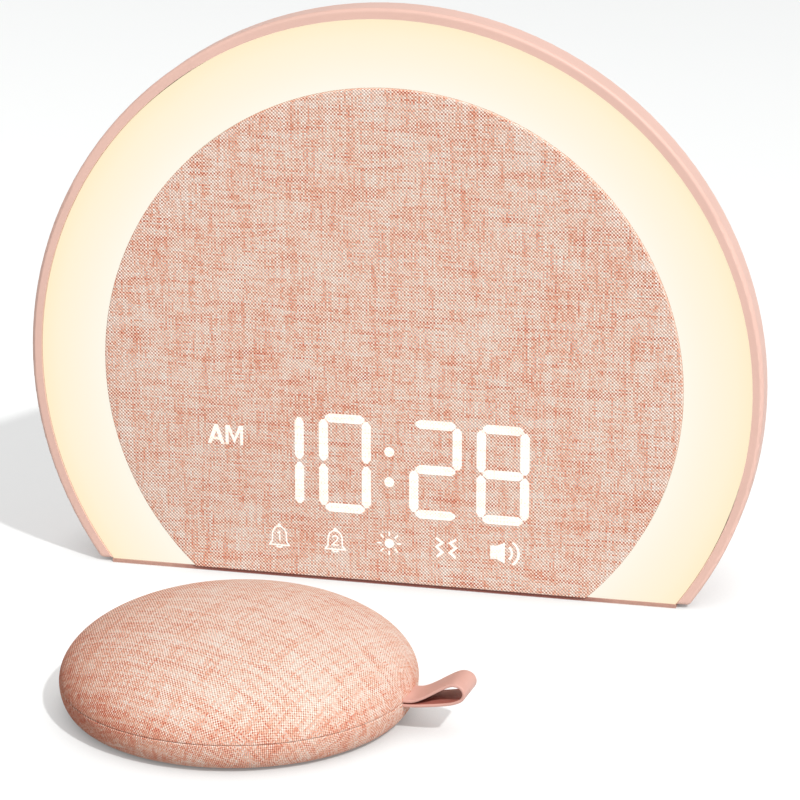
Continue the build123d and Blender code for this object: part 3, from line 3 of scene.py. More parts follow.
import bpy
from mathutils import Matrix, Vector


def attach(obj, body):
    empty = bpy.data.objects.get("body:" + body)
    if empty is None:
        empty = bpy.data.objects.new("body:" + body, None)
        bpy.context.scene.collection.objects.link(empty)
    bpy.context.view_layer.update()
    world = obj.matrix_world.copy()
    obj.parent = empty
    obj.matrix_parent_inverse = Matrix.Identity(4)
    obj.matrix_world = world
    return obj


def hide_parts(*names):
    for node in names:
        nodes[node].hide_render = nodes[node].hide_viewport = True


# Wake-up light alarm clock with a vibrating puck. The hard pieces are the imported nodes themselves;
# the cloths, the strap, the lit display and the small marks on the keys are added here. Metres throughout,
# apart from the drawings and the strap's line, which are in millimetres.

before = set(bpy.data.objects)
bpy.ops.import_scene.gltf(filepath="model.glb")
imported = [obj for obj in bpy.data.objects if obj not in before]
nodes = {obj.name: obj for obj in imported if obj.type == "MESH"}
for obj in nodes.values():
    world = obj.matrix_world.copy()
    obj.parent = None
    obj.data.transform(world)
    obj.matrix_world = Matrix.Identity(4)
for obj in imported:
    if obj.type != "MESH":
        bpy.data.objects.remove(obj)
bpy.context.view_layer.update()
MM = 0.001

# Sizes shared with the solids
DIAL_Z = 58.3 * MM
FRONT = -25.0 * MM
BACK = 25.0 * MM
CLOTH_RADIUS = 78.9 * MM
CLOTH_LOW = 1.0 * MM
KEYS = ["alarm_1_key", "alarm_2_key", "time_key", "minus_key", "plus_key", "light_key"]
KEY_FIRST_X = -31.25 * MM
KEY_PITCH = 12.5 * MM
KEY_Z = 97.0 * MM
PUCK_X = -16.8 * MM
PUCK_Y = -114.9 * MM
PUCK_TURN = math.radians(-5.0)
PUCK_RADIUS = 44.4 * MM
PUCK_HEIGHT = 26.8 * MM
PUCK_SEAM = 8.0 * MM
PUCK_FOOT = 39.6 * MM
PUCK_LOW = 0.6 * MM
STRAP_WIDTH = 10.0 * MM

# Sizes of the pieces made here: how far each stands proud, and how the cloths and the strap end
CLOTH_RISE = 0.6 * MM
CLOTH_ROUND = 0.3 * MM
CLOTH_TUCK = 2.0 * MM
SIGN_RISE = 0.68 * MM
MARK_RISE = 1.23 * MM
SEAM_ROLL = 0.3 * MM
SEAM_GAP = 0.06 * MM
SEAM_TUCK = 3 * SEAM_ROLL
UNDER_CLOTH_END = 36.3 * MM
UNDER_CLOTH_FLAT_START = PUCK_RADIUS + 8.0 * MM
STRAP_THICK = 0.8 * MM
STRAP_EDGE = 0.3 * MM
STRAP_INNER_DEPTH = 0.05 * MM

# Numbers of mesh steps
DIAL_STEPS = 300
DIAL_ARC_SHARE = 0.74
DIAL_RINGS = 8
DIAL_RING_SHARE = 0.12
ROUND_STEPS = 6
PUCK_STEPS = 180
DOME_STEPS = 40
WALL_STEPS = 14
STRAP_SPAN_STEPS = 6
STRAP_CORNER_STEPS = 3


# Shader building

NOISE_LOW = 0.3
NOISE_HIGH = 0.7


class Tree:
    """A node tree with short ways to add and join nodes, and the shader that it feeds."""

    def __init__(self, owner, shader):
        owner.use_nodes = True
        self.owner = owner
        self.nodes = owner.node_tree.nodes
        self.links = owner.node_tree.links
        self.shader = self.nodes[shader]

    def add(self, kind, inputs=None, **settings):
        """Adds a node; inputs maps a socket to a value or to another node's socket."""
        made = self.nodes.new(kind)
        for key, value in settings.items():
            setattr(made, key, value)
        for key, value in (inputs or {}).items():
            self.put(made.inputs[key], value)
        return made

    def put(self, socket, value):
        """Joins a socket to another, or sets its constant; colours are given without alpha."""
        if isinstance(value, bpy.types.NodeSocket):
            self.links.new(value, socket)
        elif socket.type == "RGBA":
            socket.default_value = (*value, 1.0)
        else:
            socket.default_value = value

    def look(self, inputs):
        """Sets or joins inputs of the shader by name."""
        for key, value in inputs.items():
            self.put(self.shader.inputs[key], value)

    def math(self, operation, first, second=0.0, clamp=False):
        """The result of a two-number operation."""
        made = self.add("ShaderNodeMath", {0: first, 1: second}, operation=operation, use_clamp=clamp)
        return made.outputs[0]

    def vector(self, operation, first, second):
        """The result of an operation on two places."""
        return self.add("ShaderNodeVectorMath", {0: first, 1: second}, operation=operation).outputs[0]

    def scale(self, vector, amount):
        """A place or a colour times a number."""
        return self.add("ShaderNodeVectorMath", {0: vector, "Scale": amount}, operation="SCALE").outputs[0]

    def split(self, vector):
        """The three numbers of a place."""
        return self.add("ShaderNodeSeparateXYZ", {0: vector}).outputs

    def join(self, x, y, z=0.0):
        """A place from three numbers."""
        return self.add("ShaderNodeCombineXYZ", {0: x, 1: y, 2: z}).outputs[0]

    def place(self):
        """Where a spot lies on its object, in metres."""
        return self.add("ShaderNodeTexCoord").outputs["Object"]

    def noise(self, vector, scale, detail=2.0, rough=0.5):
        """Smooth noise about one half."""
        inputs = {"Vector": vector, "Scale": scale, "Detail": detail, "Roughness": rough}
        return self.add("ShaderNodeTexNoise", inputs).outputs[0]

    def ramp(self, factor, stops):
        """A colour that follows a number through stops of (place, colour)."""
        made = self.add("ShaderNodeValToRGB", {0: factor})
        band = made.color_ramp
        while len(band.elements) < len(stops):
            band.elements.new(1.0)
        for element, (place, colour) in zip(band.elements, stops):
            element.position = place
            element.color = (*colour, 1.0)
        return made.outputs[0]

    def shades(self, noise, dark, light):
        """A colour that drifts between two with a noise."""
        return self.ramp(noise, [(NOISE_LOW, dark), (NOISE_HIGH, light)])

    def remap(self, value, low, high, to_low=0.0, to_high=1.0):
        """A number moved from one range to another and kept inside it."""
        made = self.add("ShaderNodeMapRange", {0: value, 1: low, 2: high, 3: to_low, 4: to_high})
        return made.outputs[0]

    def spread(self, noise, low, high):
        """A noise brought to a range."""
        return self.remap(noise, NOISE_LOW, NOISE_HIGH, low, high)

    def swing(self, noise, amount):
        """A noise moved to lie about nought, times an amount."""
        return self.math("MULTIPLY", self.math("SUBTRACT", noise, 0.5), amount)

    def mix(self, factor, first, second):
        """Two colours mixed by a factor."""
        inputs = {"Factor": factor, "A": first, "B": second}
        return self.add("ShaderNodeMix", inputs, data_type="RGBA").outputs["Result"]

    def blend(self, factor, first, second):
        """Two numbers mixed by a factor."""
        inputs = {"Factor": factor, "A": first, "B": second}
        return self.add("ShaderNodeMix", inputs, data_type="FLOAT").outputs[0]

    def bump(self, height, strength, distance):
        """Gives the shader a relief from a height."""
        made = self.add("ShaderNodeBump", {"Height": height, "Strength": strength, "Distance": distance})
        self.look({"Normal": made.outputs[0]})

    def seen(self):
        """One for what the camera sees, also in gloss and through glass, and nought for thrown light."""
        ray = self.add("ShaderNodeLightPath").outputs
        direct = self.math("MAXIMUM", ray["Is Camera Ray"], ray["Is Glossy Ray"])
        return self.math("MAXIMUM", direct, ray["Is Transmission Ray"])


def material_tree(name):
    """The tree of a new material."""
    return Tree(bpy.data.materials.new(name), "Principled BSDF")


def tone(red, green, blue):
    """A colour given as screen values from 0 to 255, made linear."""
    def linear(value):
        value = value / 255
        return value / 12.92 if value <= 0.04045 else ((value + 0.055) / 1.055) ** 2.4
    return (linear(red), linear(green), linear(blue))


def solid_material(name, colour, rough=0.5, metal=0.0, grain=0.6 * MM, relief=0.15, vary=0.06):
    """A hard material with slight colour drift, uneven gloss and a fine grain."""
    drift_rate, gloss_swing, least_rough = 38.0, 0.06, 0.02
    tree = material_tree(name)
    place = tree.place()
    drift = tree.noise(place, drift_rate, 3.0)
    fine = tree.noise(place, 1.0 / grain)
    dark = tuple(channel * (1 - vary) for channel in colour)
    light = tuple(min(1.0, channel * (1 + vary)) for channel in colour)
    tree.look({"Base Color": tree.shades(drift, dark, light),
               "Roughness": tree.spread(fine, max(rough - gloss_swing, least_rough), rough + gloss_swing),
               "Metallic": metal})
    tree.bump(fine, relief, 0.06 * MM)
    return tree.owner


def brushed_material(name, colour, rough):
    """Drawn or plated metal with fine streaks along X."""
    streak_rates, dark_share, gloss_swing = (120.0, 2600.0, 2600.0), 0.86, 0.07
    tree = material_tree(name)
    streak = tree.noise(tree.vector("MULTIPLY", tree.place(), streak_rates), 1.0)
    dark = tuple(channel * dark_share for channel in colour)
    tree.look({"Base Color": tree.shades(streak, dark, colour),
               "Roughness": tree.spread(streak, rough - gloss_swing, rough + gloss_swing),
               "Metallic": 1.0})
    tree.bump(streak, 0.12, 0.03 * MM)
    return tree.owner


def board_material(name):
    """Green solder mask with copper tracks under it."""
    track_rate, track_start, track_end = 260.0, 0.28, 0.34
    tree = material_tree(name)
    place = tree.place()
    cells = tree.add("ShaderNodeTexVoronoi", {"Vector": place, "Scale": track_rate}, distance="MANHATTAN")
    track = tree.remap(cells.outputs["Distance"], track_start, track_end)
    tree.look({"Base Color": tree.mix(track, tone(22, 92, 62), tone(14, 66, 44)),
               "Roughness": tree.spread(tree.noise(place, 400.0), 0.3, 0.42)})
    tree.bump(track, 0.2, 0.03 * MM)
    return tree.owner


# The weave: width of a yarn, and how much red the warp and the weft carry
FRONT_YARN = 0.47 * MM
FRONT_WARP = 0.42
FRONT_WEFT = 0.66
PUCK_YARN = 0.42 * MM
PUCK_WARP = 0.34
PUCK_WEFT = 0.6
PUCK_WEAVE_TURN = math.radians(16.0)
# How far the yarns sway, and how often
SWAY = 0.35 * MM
SWAY_RATE = 90.0
# How fast the red changes from yarn to yarn and along one, in a yarn's own slubs and in shared patches
OWN_RATES = (7.31, 0.05)
SHARED_RATES = (0.21, 0.03)
SHARED_SEED = 5.0
WARP_SEED = 1.7
WEFT_SEED = 9.2
YARN_NOISE_ROUGH = 0.55
# How much each part counts in the red, and in the relief
OWN_SHARE = 1.12
SHARED_SHARE = 0.75
SPECK_SHARE = 0.15
CROWN_RED = 0.05
SQUARE_SHARE = 0.7
SLANT_SHARE = 0.3


def weave(tree, turn, yarn, warp_weight, weft_weight):
    """Woven yarns on the cloth's own flat coordinates: how red each spot is, and the relief."""
    flat = tree.add("ShaderNodeUVMap", uv_map="cloth").outputs[0]
    inputs = {"Vector": flat, "Angle": turn}
    turned = tree.add("ShaderNodeVectorRotate", inputs, rotation_type="Z_AXIS").outputs[0]
    sway = tree.add("ShaderNodeTexNoise", {"Vector": turned, "Scale": SWAY_RATE, "Detail": 1.0}).outputs[1]
    sway = tree.scale(tree.vector("SUBTRACT", sway, (0.5, 0.5, 0.5)), SWAY)
    yarns = tree.split(tree.scale(tree.vector("ADD", turned, sway), 1.0 / yarn))
    across, along = yarns[0], yarns[1]
    warp, weft = tree.math("FLOOR", across), tree.math("FLOOR", along)
    over = tree.math("FLOORED_MODULO", tree.math("ADD", warp, weft), 2.0)

    def yarn_noise(number, length, seed, rates, detail):
        """A noise that changes at one rate from yarn to yarn and at another along each."""
        from_yarn = tree.math("MULTIPLY", number, rates[0])
        along_yarn = tree.math("MULTIPLY", length, rates[1])
        return tree.noise(tree.join(from_yarn, along_yarn, seed), 1.0, detail, YARN_NOISE_ROUGH)

    def yarn_red(number, length, seed, weight):
        """How red a yarn is along its length: its own slubs, and patches that neighbours share."""
        own = yarn_noise(number, length, seed, OWN_RATES, 1.0)
        shared = yarn_noise(number, length, seed + SHARED_SEED, SHARED_RATES, 2.0)
        own = tree.swing(own, OWN_SHARE * weight)
        return tree.math("ADD", own, tree.swing(shared, SHARED_SHARE * weight))

    warp_red = yarn_red(warp, along, WARP_SEED, warp_weight)
    weft_red = yarn_red(weft, across, WEFT_SEED, weft_weight)
    red = tree.blend(over, warp_red, weft_red)
    crossing = tree.join(warp, weft)
    speck = tree.add("ShaderNodeTexWhiteNoise", {"Vector": crossing}, noise_dimensions="2D").outputs[0]
    red = tree.math("ADD", tree.math("ADD", red, 0.5), tree.swing(speck, SPECK_SHARE))
    round_warp = tree.math("SINE", tree.math("MULTIPLY", across, math.pi))
    round_weft = tree.math("SINE", tree.math("MULTIPLY", along, math.pi))
    square = tree.math("MULTIPLY", round_warp, round_weft)
    slant = tree.math("COSINE", tree.math("MULTIPLY", tree.math("ADD", across, along), math.pi))
    crown = tree.math("SUBTRACT", tree.math("MULTIPLY", square, SQUARE_SHARE),
                      tree.math("MULTIPLY", slant, SLANT_SHARE))
    red = tree.math("SUBTRACT", red, tree.math("MULTIPLY", crown, CROWN_RED))
    return red, crown


# Colours of the cloth from its palest yarns to its reddest, and the weave's painted shade, from dark gaps to
# light crowns
CLOTH_TONES = [(0.31, tone(255, 240, 231)), (0.46, tone(252, 222, 206)),
               (0.57, tone(244, 182, 156)), (0.74, tone(220, 116, 90))]
CLOTH_LIGHT = 1.06
GAP_AND_CROWN = 1.46
CROWN_REACH = 0.9
# Painted light on the cloth by its facing: a painted highlight upwards from side to top, and painted shade
# as extra red leftwards from start to end
SIDE_FACING = 0.1
TOP_FACING = 0.85
LEFT_START = -0.05
LEFT_END = -0.75
LEFT_PAINTED_SHADE = 0.11


def cloth_material(name, turn, yarn, warp_weight, weft_weight, painted_side_pale, painted_top_pale, gap):
    """Pale pink cloth with coral slubs both ways, painted paler or redder by how far it faces up, and redder
    as painted shade where it faces left.
    """
    tree = material_tree(name)
    red, crown = weave(tree, turn, yarn, warp_weight, weft_weight)
    facing = tree.split(tree.add("ShaderNodeTexCoord").outputs["Normal"])
    # Painted highlight and shade: the red drops where the cloth faces up and rises where it faces sideways
    # or left
    red = tree.math("SUBTRACT", red, tree.remap(facing[2], SIDE_FACING, TOP_FACING, painted_side_pale, painted_top_pale))
    red = tree.math("ADD", red, tree.remap(facing[0], LEFT_START, LEFT_END, 0.0, LEFT_PAINTED_SHADE))
    # Painted shade of the weave's relief: the colour is darkened in the gaps between yarns and lightened on
    # the crowns
    gap_light, crown_light = gap * CLOTH_LIGHT, (GAP_AND_CROWN - gap) * CLOTH_LIGHT
    shade = tree.remap(crown, -CROWN_REACH, CROWN_REACH, gap_light, crown_light)
    tree.look({"Base Color": tree.scale(tree.ramp(red, CLOTH_TONES), shade), "Roughness": 0.92,
               "Specular IOR Level": 0.15, "Sheen Weight": 0.12, "Sheen Roughness": 0.5,
               "Sheen Tint": tone(255, 214, 200)})
    tree.bump(tree.math("ABSOLUTE", crown), 0.5, 0.12 * MM)
    return tree.owner


def sign_material(name):
    """The display's light coming through the cloth: nearly white, with the yarns as faint specks."""
    spot_share, gap_share, body_share, own_light = 0.45, 0.3, 0.62, 0.48
    red_start, red_end, gap_start = 0.5, 0.66, -0.2
    tree = material_tree(name)
    red, crown = weave(tree, 0.0, FRONT_YARN, FRONT_WARP, FRONT_WEFT)
    spot = tree.math("MULTIPLY", tree.remap(red, red_start, red_end), spot_share)
    deep = tree.math("MULTIPLY", tree.remap(crown, gap_start, -CROWN_REACH), gap_share)
    colour = tree.mix(tree.math("ADD", spot, deep, clamp=True), tone(255, 254, 250), tone(244, 216, 186))
    tree.look({"Base Color": tree.scale(colour, body_share), "Emission Color": colour,
               "Emission Strength": own_light, "Roughness": 0.9, "Specular IOR Level": 0.0})
    return tree.owner


def foot_material(name):
    """Grained brown rubber, with the lit ring's light painted on as a paler colour at both ends where it
    lies under the ring.
    """
    brown_end, painted_light_start, grain_rate = 50.0 * MM, 62.0 * MM, 1900.0
    tree = material_tree(name)
    place = tree.place()
    sideways = tree.math("ABSOLUTE", tree.split(place)[0])
    grain = tree.noise(place, grain_rate, 3.0)
    # Painted light: the ring's glow is painted on as a paler colour towards both ends
    ends = tree.remap(sideways, brown_end, painted_light_start)
    colour = tree.ramp(ends, [(0.0, tone(138, 84, 75)), (1.0, tone(186, 144, 130))])
    tree.look({"Base Color": tree.scale(colour, tree.spread(grain, 0.9, 1.05)),
               "Roughness": tree.spread(grain, 0.74, 0.86)})
    tree.bump(grain, 0.35, 0.08 * MM)
    return tree.owner


def glow_material(name):
    """The milky ring lit from behind: nearly white by the cloth and warmer towards the rim."""
    inner, outer, drift_reach = 79.0 * MM, 97.2 * MM, 2.5 * MM
    tree = material_tree(name)
    place = tree.place()
    parts = tree.split(place)
    up = tree.math("SUBTRACT", parts[2], DIAL_Z)
    squares = tree.math("ADD", tree.math("POWER", parts[0], 2.0), tree.math("POWER", up, 2.0))
    drift = tree.swing(tree.noise(place, 22.0, 1.0), drift_reach)
    share = tree.remap(tree.math("ADD", tree.math("SQRT", squares), drift), inner, outer)
    colour = tree.ramp(share, [(0.0, tone(255, 250, 236)), (0.35, tone(255, 246, 226)),
                               (0.75, tone(255, 243, 215)), (1.0, tone(255, 239, 203))])
    tree.look({"Emission Color": colour, "Emission Strength": 0.97, "Base Color": tone(40, 37, 32),
               "Specular IOR Level": 0.15, "Roughness": tree.spread(tree.noise(place, 900.0), 0.5, 0.6)})
    return tree.owner


def leather_material(name):
    """Smooth pink leather with faint pores, darker on its inner face."""
    pore_rate, drift_rate = 2600.0, 140.0
    tree = material_tree(name)
    place = tree.place()
    pores = tree.add("ShaderNodeTexVoronoi", {"Vector": place, "Scale": pore_rate}).outputs["Distance"]
    drift = tree.noise(place, drift_rate, 3.0)
    outside = tree.shades(drift, tone(208, 160, 148), tone(216, 170, 158))
    inside = tree.shades(drift, tone(164, 96, 84), tone(176, 108, 95))
    side = tree.add("ShaderNodeVertexColor", layer_name="inner").outputs[0]
    tree.look({"Base Color": tree.mix(side, outside, inside), "Roughness": tree.spread(drift, 0.44, 0.56)})
    tree.bump(pores, 0.12, 0.08 * MM)
    return tree.owner


# Mesh building


def mesh_object(name, points, faces, material, smooth=True):
    """A mesh object from points and faces."""
    mesh = bpy.data.meshes.new(name)
    mesh.from_pydata([tuple(point) for point in points], [], faces)
    mesh.update()
    made = bpy.data.objects.new(name, mesh)
    bpy.context.scene.collection.objects.link(made)
    made.data.materials.append(material)
    for polygon in mesh.polygons:
        polygon.use_smooth = smooth
    return made


def set_flat(made, flat):
    """Stores each vertex's place on the flat cloth, in metres, as the layer that the weave reads."""
    layer = made.data.uv_layers.new(name="cloth")
    for loop in made.data.loops:
        layer.data[loop.index].uv = flat[loop.vertex_index]


def band_faces(start, rings, count):
    """Faces that join rings of count points each, from the point numbered start on."""
    faces = []
    for ring in range(rings - 1):
        low, high = start + ring * count, start + (ring + 1) * count
        for number in range(count):
            after = (number + 1) % count
            faces.append((low + number, low + after, high + after, high + number))
    return faces


def ring_faces(rings, count, first_is_point):
    """Faces that join rings of count points each; the first ring may be a single point."""
    if not first_is_point:
        return band_faces(0, rings, count)
    fan = [(0, 1 + (number + 1) % count, 1 + number) for number in range(count)]
    return fan + band_faces(1, rings - 1, count)


def quarter(number, steps):
    """The angle after a number of the steps of a quarter turn."""
    return math.pi / 2 * number / steps


def dial_edge():
    """Points round the cloth's edge with their outward directions, in X and Z."""
    half = math.asin((DIAL_Z - CLOTH_LOW) / CLOTH_RADIUS)
    edge = []
    arc_count = int(DIAL_STEPS * DIAL_ARC_SHARE)
    sweep = math.pi + 2 * half
    for number in range(arc_count):
        angle = math.pi + half - sweep * number / (arc_count - 1)
        edge.append(((CLOTH_RADIUS * math.cos(angle), DIAL_Z + CLOTH_RADIUS * math.sin(angle)),
                     (math.cos(angle), math.sin(angle))))
    reach = CLOTH_RADIUS * math.cos(half)
    low_count = DIAL_STEPS - arc_count
    for number in range(low_count):
        x = reach - 2 * reach * (number + 1) / (low_count + 1)
        edge.append(((x, CLOTH_LOW), (0.0, -1.0)))
    return edge


def front_cloth():
    """The cloth over the front, rounded over the panel's edge and turned back behind it."""
    lead = FRONT - CLOTH_RISE
    edge = dial_edge()
    points, flat = [(0.0, lead, DIAL_Z)], [(0.0, DIAL_Z)]

    def ring(inset, depth, share=1.0):
        """Adds a ring of points, drawn in from the edge and shrunk about the middle."""
        for (x, z), (out_x, out_z) in edge:
            place = (share * (x - inset * out_x), DIAL_Z + share * (z - inset * out_z - DIAL_Z))
            points.append((place[0], depth, place[1]))
            flat.append((place[0] + out_x * (depth - lead), place[1] + out_z * (depth - lead)))

    for number in range(1, DIAL_RINGS + 1):
        ring(CLOTH_ROUND, lead, DIAL_RING_SHARE * number)
    for number in range(ROUND_STEPS + 1):
        angle = quarter(number, ROUND_STEPS)
        ring(CLOTH_ROUND * (1 - math.sin(angle)), lead + CLOTH_ROUND * (1 - math.cos(angle)))
    ring(0.0, FRONT + CLOTH_TUCK)
    rings = 1 + DIAL_RINGS + ROUND_STEPS + 2
    made = mesh_object("front_cloth_skin", points, ring_faces(rings, DIAL_STEPS, True), cloth_front)
    set_flat(made, flat)
    return made


def puck_place(x, y, z):
    """A point of the puck's own frame on the table."""
    cosine, sine = math.cos(PUCK_TURN), math.sin(PUCK_TURN)
    return (PUCK_X + x * cosine - y * sine, PUCK_Y + x * sine + y * cosine, z)


def turned_cloth(name, profile, closed_top, flat_start):
    """A cloth turned about the puck's middle from a profile of (radius, height)."""
    points, flat = [], []
    run = 0.0
    for number, (radius, height) in enumerate(profile):
        if number:
            run += math.dist(profile[number - 1], (radius, height))
        if closed_top and number == 0:
            points.append(puck_place(0.0, 0.0, height))
            flat.append((0.0, 0.0))
            continue
        for step in range(PUCK_STEPS):
            angle = 2 * math.pi * step / PUCK_STEPS
            points.append(puck_place(radius * math.cos(angle), radius * math.sin(angle), height))
            reach = flat_start + run
            flat.append((reach * math.cos(angle), reach * math.sin(angle)))
    made = mesh_object(name, points, ring_faces(len(profile), PUCK_STEPS, closed_top), cloth_puck)
    set_flat(made, flat)
    return made


def puck_cloths():
    """The upper and the lower cloth, each rolled in at the seam."""
    def rolled(angle, way):
        """A point of the roll: above the seam for way 1, below it for way -1."""
        return (PUCK_RADIUS - SEAM_ROLL * (1 - math.cos(angle)),
                PUCK_SEAM + way * (SEAM_GAP + SEAM_ROLL * (1 - math.sin(angle))))

    dome = []
    for number in range(DOME_STEPS + 1):
        angle = quarter(DOME_STEPS - number, DOME_STEPS)
        height = PUCK_SEAM + (PUCK_HEIGHT - PUCK_SEAM) * math.sin(angle)
        if height > PUCK_SEAM + SEAM_GAP + SEAM_ROLL:
            dome.append((PUCK_RADIUS * math.cos(angle), height))
    dome += [rolled(quarter(number, ROUND_STEPS), 1) for number in range(ROUND_STEPS + 1)]
    dome.append((PUCK_RADIUS - SEAM_TUCK, PUCK_SEAM + SEAM_GAP))
    upper = turned_cloth("puck_upper_cloth", dome, True, 0.0)

    wall = [(PUCK_RADIUS - SEAM_TUCK, PUCK_SEAM - SEAM_GAP)]
    wall += [rolled(quarter(ROUND_STEPS - number, ROUND_STEPS), -1) for number in range(ROUND_STEPS + 1)]
    for number in range(1, WALL_STEPS + 1):
        angle = quarter(number, WALL_STEPS)
        height = PUCK_SEAM - (PUCK_SEAM - PUCK_LOW) * math.sin(angle)
        if height < PUCK_SEAM - SEAM_GAP - SEAM_ROLL:
            wall.append((PUCK_FOOT + (PUCK_RADIUS - PUCK_FOOT) * math.cos(angle), height))
    wall.append((UNDER_CLOTH_END, PUCK_LOW))
    under = turned_cloth("puck_under_cloth", wall, False, UNDER_CLOTH_FLAT_START)
    return upper, under


def smooth_path(points, per_span):
    """A smooth open line through points in a plane."""
    def between(a, b, c, d, t):
        """A number on the way from b to c, with a before them and d after them."""
        bend = 2 * a - 5 * b + 4 * c - d
        twist = 3 * b - a - 3 * c + d
        return 0.5 * (2 * b + (c - a) * t + bend * t * t + twist * t ** 3)

    line = []
    last = len(points) - 1
    for number in range(last):
        near = [points[min(max(number + shift, 0), last)] for shift in (-1, 0, 1, 2)]
        for step in range(per_span):
            line.append(tuple(between(*numbers, step / per_span) for numbers in zip(*near)))
    line.append(points[-1])
    return line


# Middle line of the strap in millimetres: beyond the puck's edge, and above its seam
STRAP_LINE = [(-8.0, -0.6), (-3.0, -0.6), (1.4, -0.5), (5.6, 0.1), (9.8, 0.85), (12.7, 1.65), (14.5, 2.7),
              (15.05, 4.2), (14.35, 5.6), (12.8, 6.2), (11.1, 5.85), (8.5, 4.35), (5.7, 2.55), (3.2, 1.2),
              (1.0, 0.6), (-3.0, 0.6), (-8.0, 0.6)]


def strap_section():
    """The strap's cross section with rounded corners, as places across it and up through it."""
    half, thick = STRAP_WIDTH / 2, STRAP_THICK / 2
    section = []
    for across, up in ((half, thick), (-half, thick), (-half, -thick), (half, -thick)):
        side, level = math.copysign(1, across), math.copysign(1, up)
        for number in range(STRAP_CORNER_STEPS + 1):
            angle = quarter(number, STRAP_CORNER_STEPS)
            out, rise = math.cos(angle), math.sin(angle)
            if side * level < 0:
                out, rise = rise, out
            section.append((across - side * STRAP_EDGE * (1 - out), up - level * STRAP_EDGE * (1 - rise)))
    return section


def strap():
    """The strap loop: a flat band with rounded edges along its middle line."""
    line = smooth_path([(x * MM, z * MM) for x, z in STRAP_LINE], STRAP_SPAN_STEPS)
    section = strap_section()
    inner_level = -STRAP_THICK / 2 + STRAP_INNER_DEPTH
    inner_reach = STRAP_WIDTH / 2 - STRAP_EDGE / 2
    points, inner = [], []
    length = 0.0
    for number, (x, z) in enumerate(line):
        before_x, before_z = line[max(number - 1, 0)]
        after_x, after_z = line[min(number + 1, len(line) - 1)]
        run = math.hypot(after_x - before_x, after_z - before_z)
        normal = ((after_z - before_z) / run, -(after_x - before_x) / run)
        if number:
            length += math.dist(line[number - 1], (x, z))
        for across, up in section:
            out, height = x + normal[0] * up, z + normal[1] * up
            points.append(puck_place(PUCK_RADIUS + out, across, PUCK_SEAM + height))
            inner.append(1.0 if up < inner_level and abs(across) < inner_reach else 0.0)
    count = len(section)
    faces = band_faces(0, len(line), count)
    faces.append(tuple(range(count)))
    faces.append(tuple(range(len(points) - 1, len(points) - 1 - count, -1)))
    made = mesh_object("strap_band", points, faces, leather)
    colours = made.data.color_attributes.new(name="inner", type="FLOAT_COLOR", domain="POINT")
    for number, value in enumerate(inner):
        colours.data[number].color = (value, value, value, 1.0)
    return made, length


# Drawing of the lit signs and of the marks on the keys, in millimetres


def circle(x, z, radius, count=28):
    """Points round a circle."""
    angles = [2 * math.pi * number / count for number in range(count)]
    return [(x + radius * math.cos(angle), z + radius * math.sin(angle)) for angle in angles]


def moved(points, x, z, way=1):
    """Points of a drawing moved to a place; way -1 mirrors them left to right."""
    return [(x + way * across, z + up) for across, up in points]


class Signs:
    """Flat shapes gathered for one mesh, in X and Z."""

    def __init__(self):
        self.points = []
        self.faces = []

    def face(self, outline):
        """A filled convex outline."""
        start = len(self.points)
        self.points += outline
        self.faces.append(tuple(range(start, start + len(outline))))

    def ribbon(self, line, width, closed=False):
        """A band of even width along a line, mitred at its corners."""
        least_mitre = 0.35
        count = len(line)
        left, right = [], []
        for number in range(count):
            prior = line[number - 1] if closed or number else line[0]
            after = line[(number + 1) % count] if closed or number < count - 1 else line[-1]
            here = line[number]
            first = Vector((here[0] - prior[0], here[1] - prior[1]))
            second = Vector((after[0] - here[0], after[1] - here[1]))
            first = first.normalized() if first.length else second.normalized()
            second = second.normalized() if second.length else first
            normal_1, normal_2 = Vector((-first.y, first.x)), Vector((-second.y, second.x))
            mitre = (normal_1 + normal_2).normalized()
            reach = width / 2 / max(mitre.dot(normal_2), least_mitre)
            left.append((here[0] + mitre.x * reach, here[1] + mitre.y * reach))
            right.append((here[0] - mitre.x * reach, here[1] - mitre.y * reach))
        for number in range(count if closed else count - 1):
            after = (number + 1) % count
            self.face([right[number], right[after], left[after], left[number]])

    def rays(self, x, z, inner, outer, width):
        """Eight short rays about a middle."""
        for number in range(8):
            angle = math.pi / 4 * number
            cosine, sine = math.cos(angle), math.sin(angle)
            self.ribbon([(x + reach * cosine, z + reach * sine) for reach in (inner, outer)], width)

    def bar(self, x, z, length, width, upright):
        """A digit's stroke: a bar with blunt pointed ends."""
        tip_share, shoulder_share = 0.35, 0.9
        half, side = length / 2, width / 2
        tip, shoulder = side * tip_share, half - side * shoulder_share
        outline = [(-half, -tip), (-shoulder, -side), (shoulder, -side), (half, -tip),
                   (half, tip), (shoulder, side), (-shoulder, side), (-half, tip)]
        if upright:
            outline = [(-b, a) for a, b in outline]
        self.face(moved(outline, x, z))


DIGITS = ((-30.6, "1"), (-12.04, "0"), (12.9, "2"), (31.3, "8"))
LIT = {"1": "bc", "0": "abcdef", "2": "abged", "8": "abcdefg"}
DIGIT_Z = 33.95
DIGIT_WIDTH = 14.4
DIGIT_HEIGHT = 27.9
STROKE = 2.55
STROKE_GAP = 0.9
COLON_X = 0.22
COLON_HEIGHTS = (38.2, 29.7)
COLON_RADIUS = 1.4

# Halves of the half-day sign's two letters, and the first one's bar
LETTER_Z = 37.0
LETTER_A_X = -47.9
LETTER_M_X = -42.8
A_LEG = [(2.4, 0.0), (1.35, 0.0), (-0.12, 3.9), (-0.12, 5.5), (0.5, 5.5)]
A_BAR = [(-1.5, 1.15), (1.5, 1.15), (1.2, 1.95), (-1.2, 1.95)]
M_POST = [(2.5, 0.0), (2.5, 5.5), (1.6, 5.5), (1.6, 0.0)]
M_SLANT = [(1.6, 5.5), (1.6, 3.8), (0.0, 0.35), (0.0, 2.0), (1.25, 5.5)]

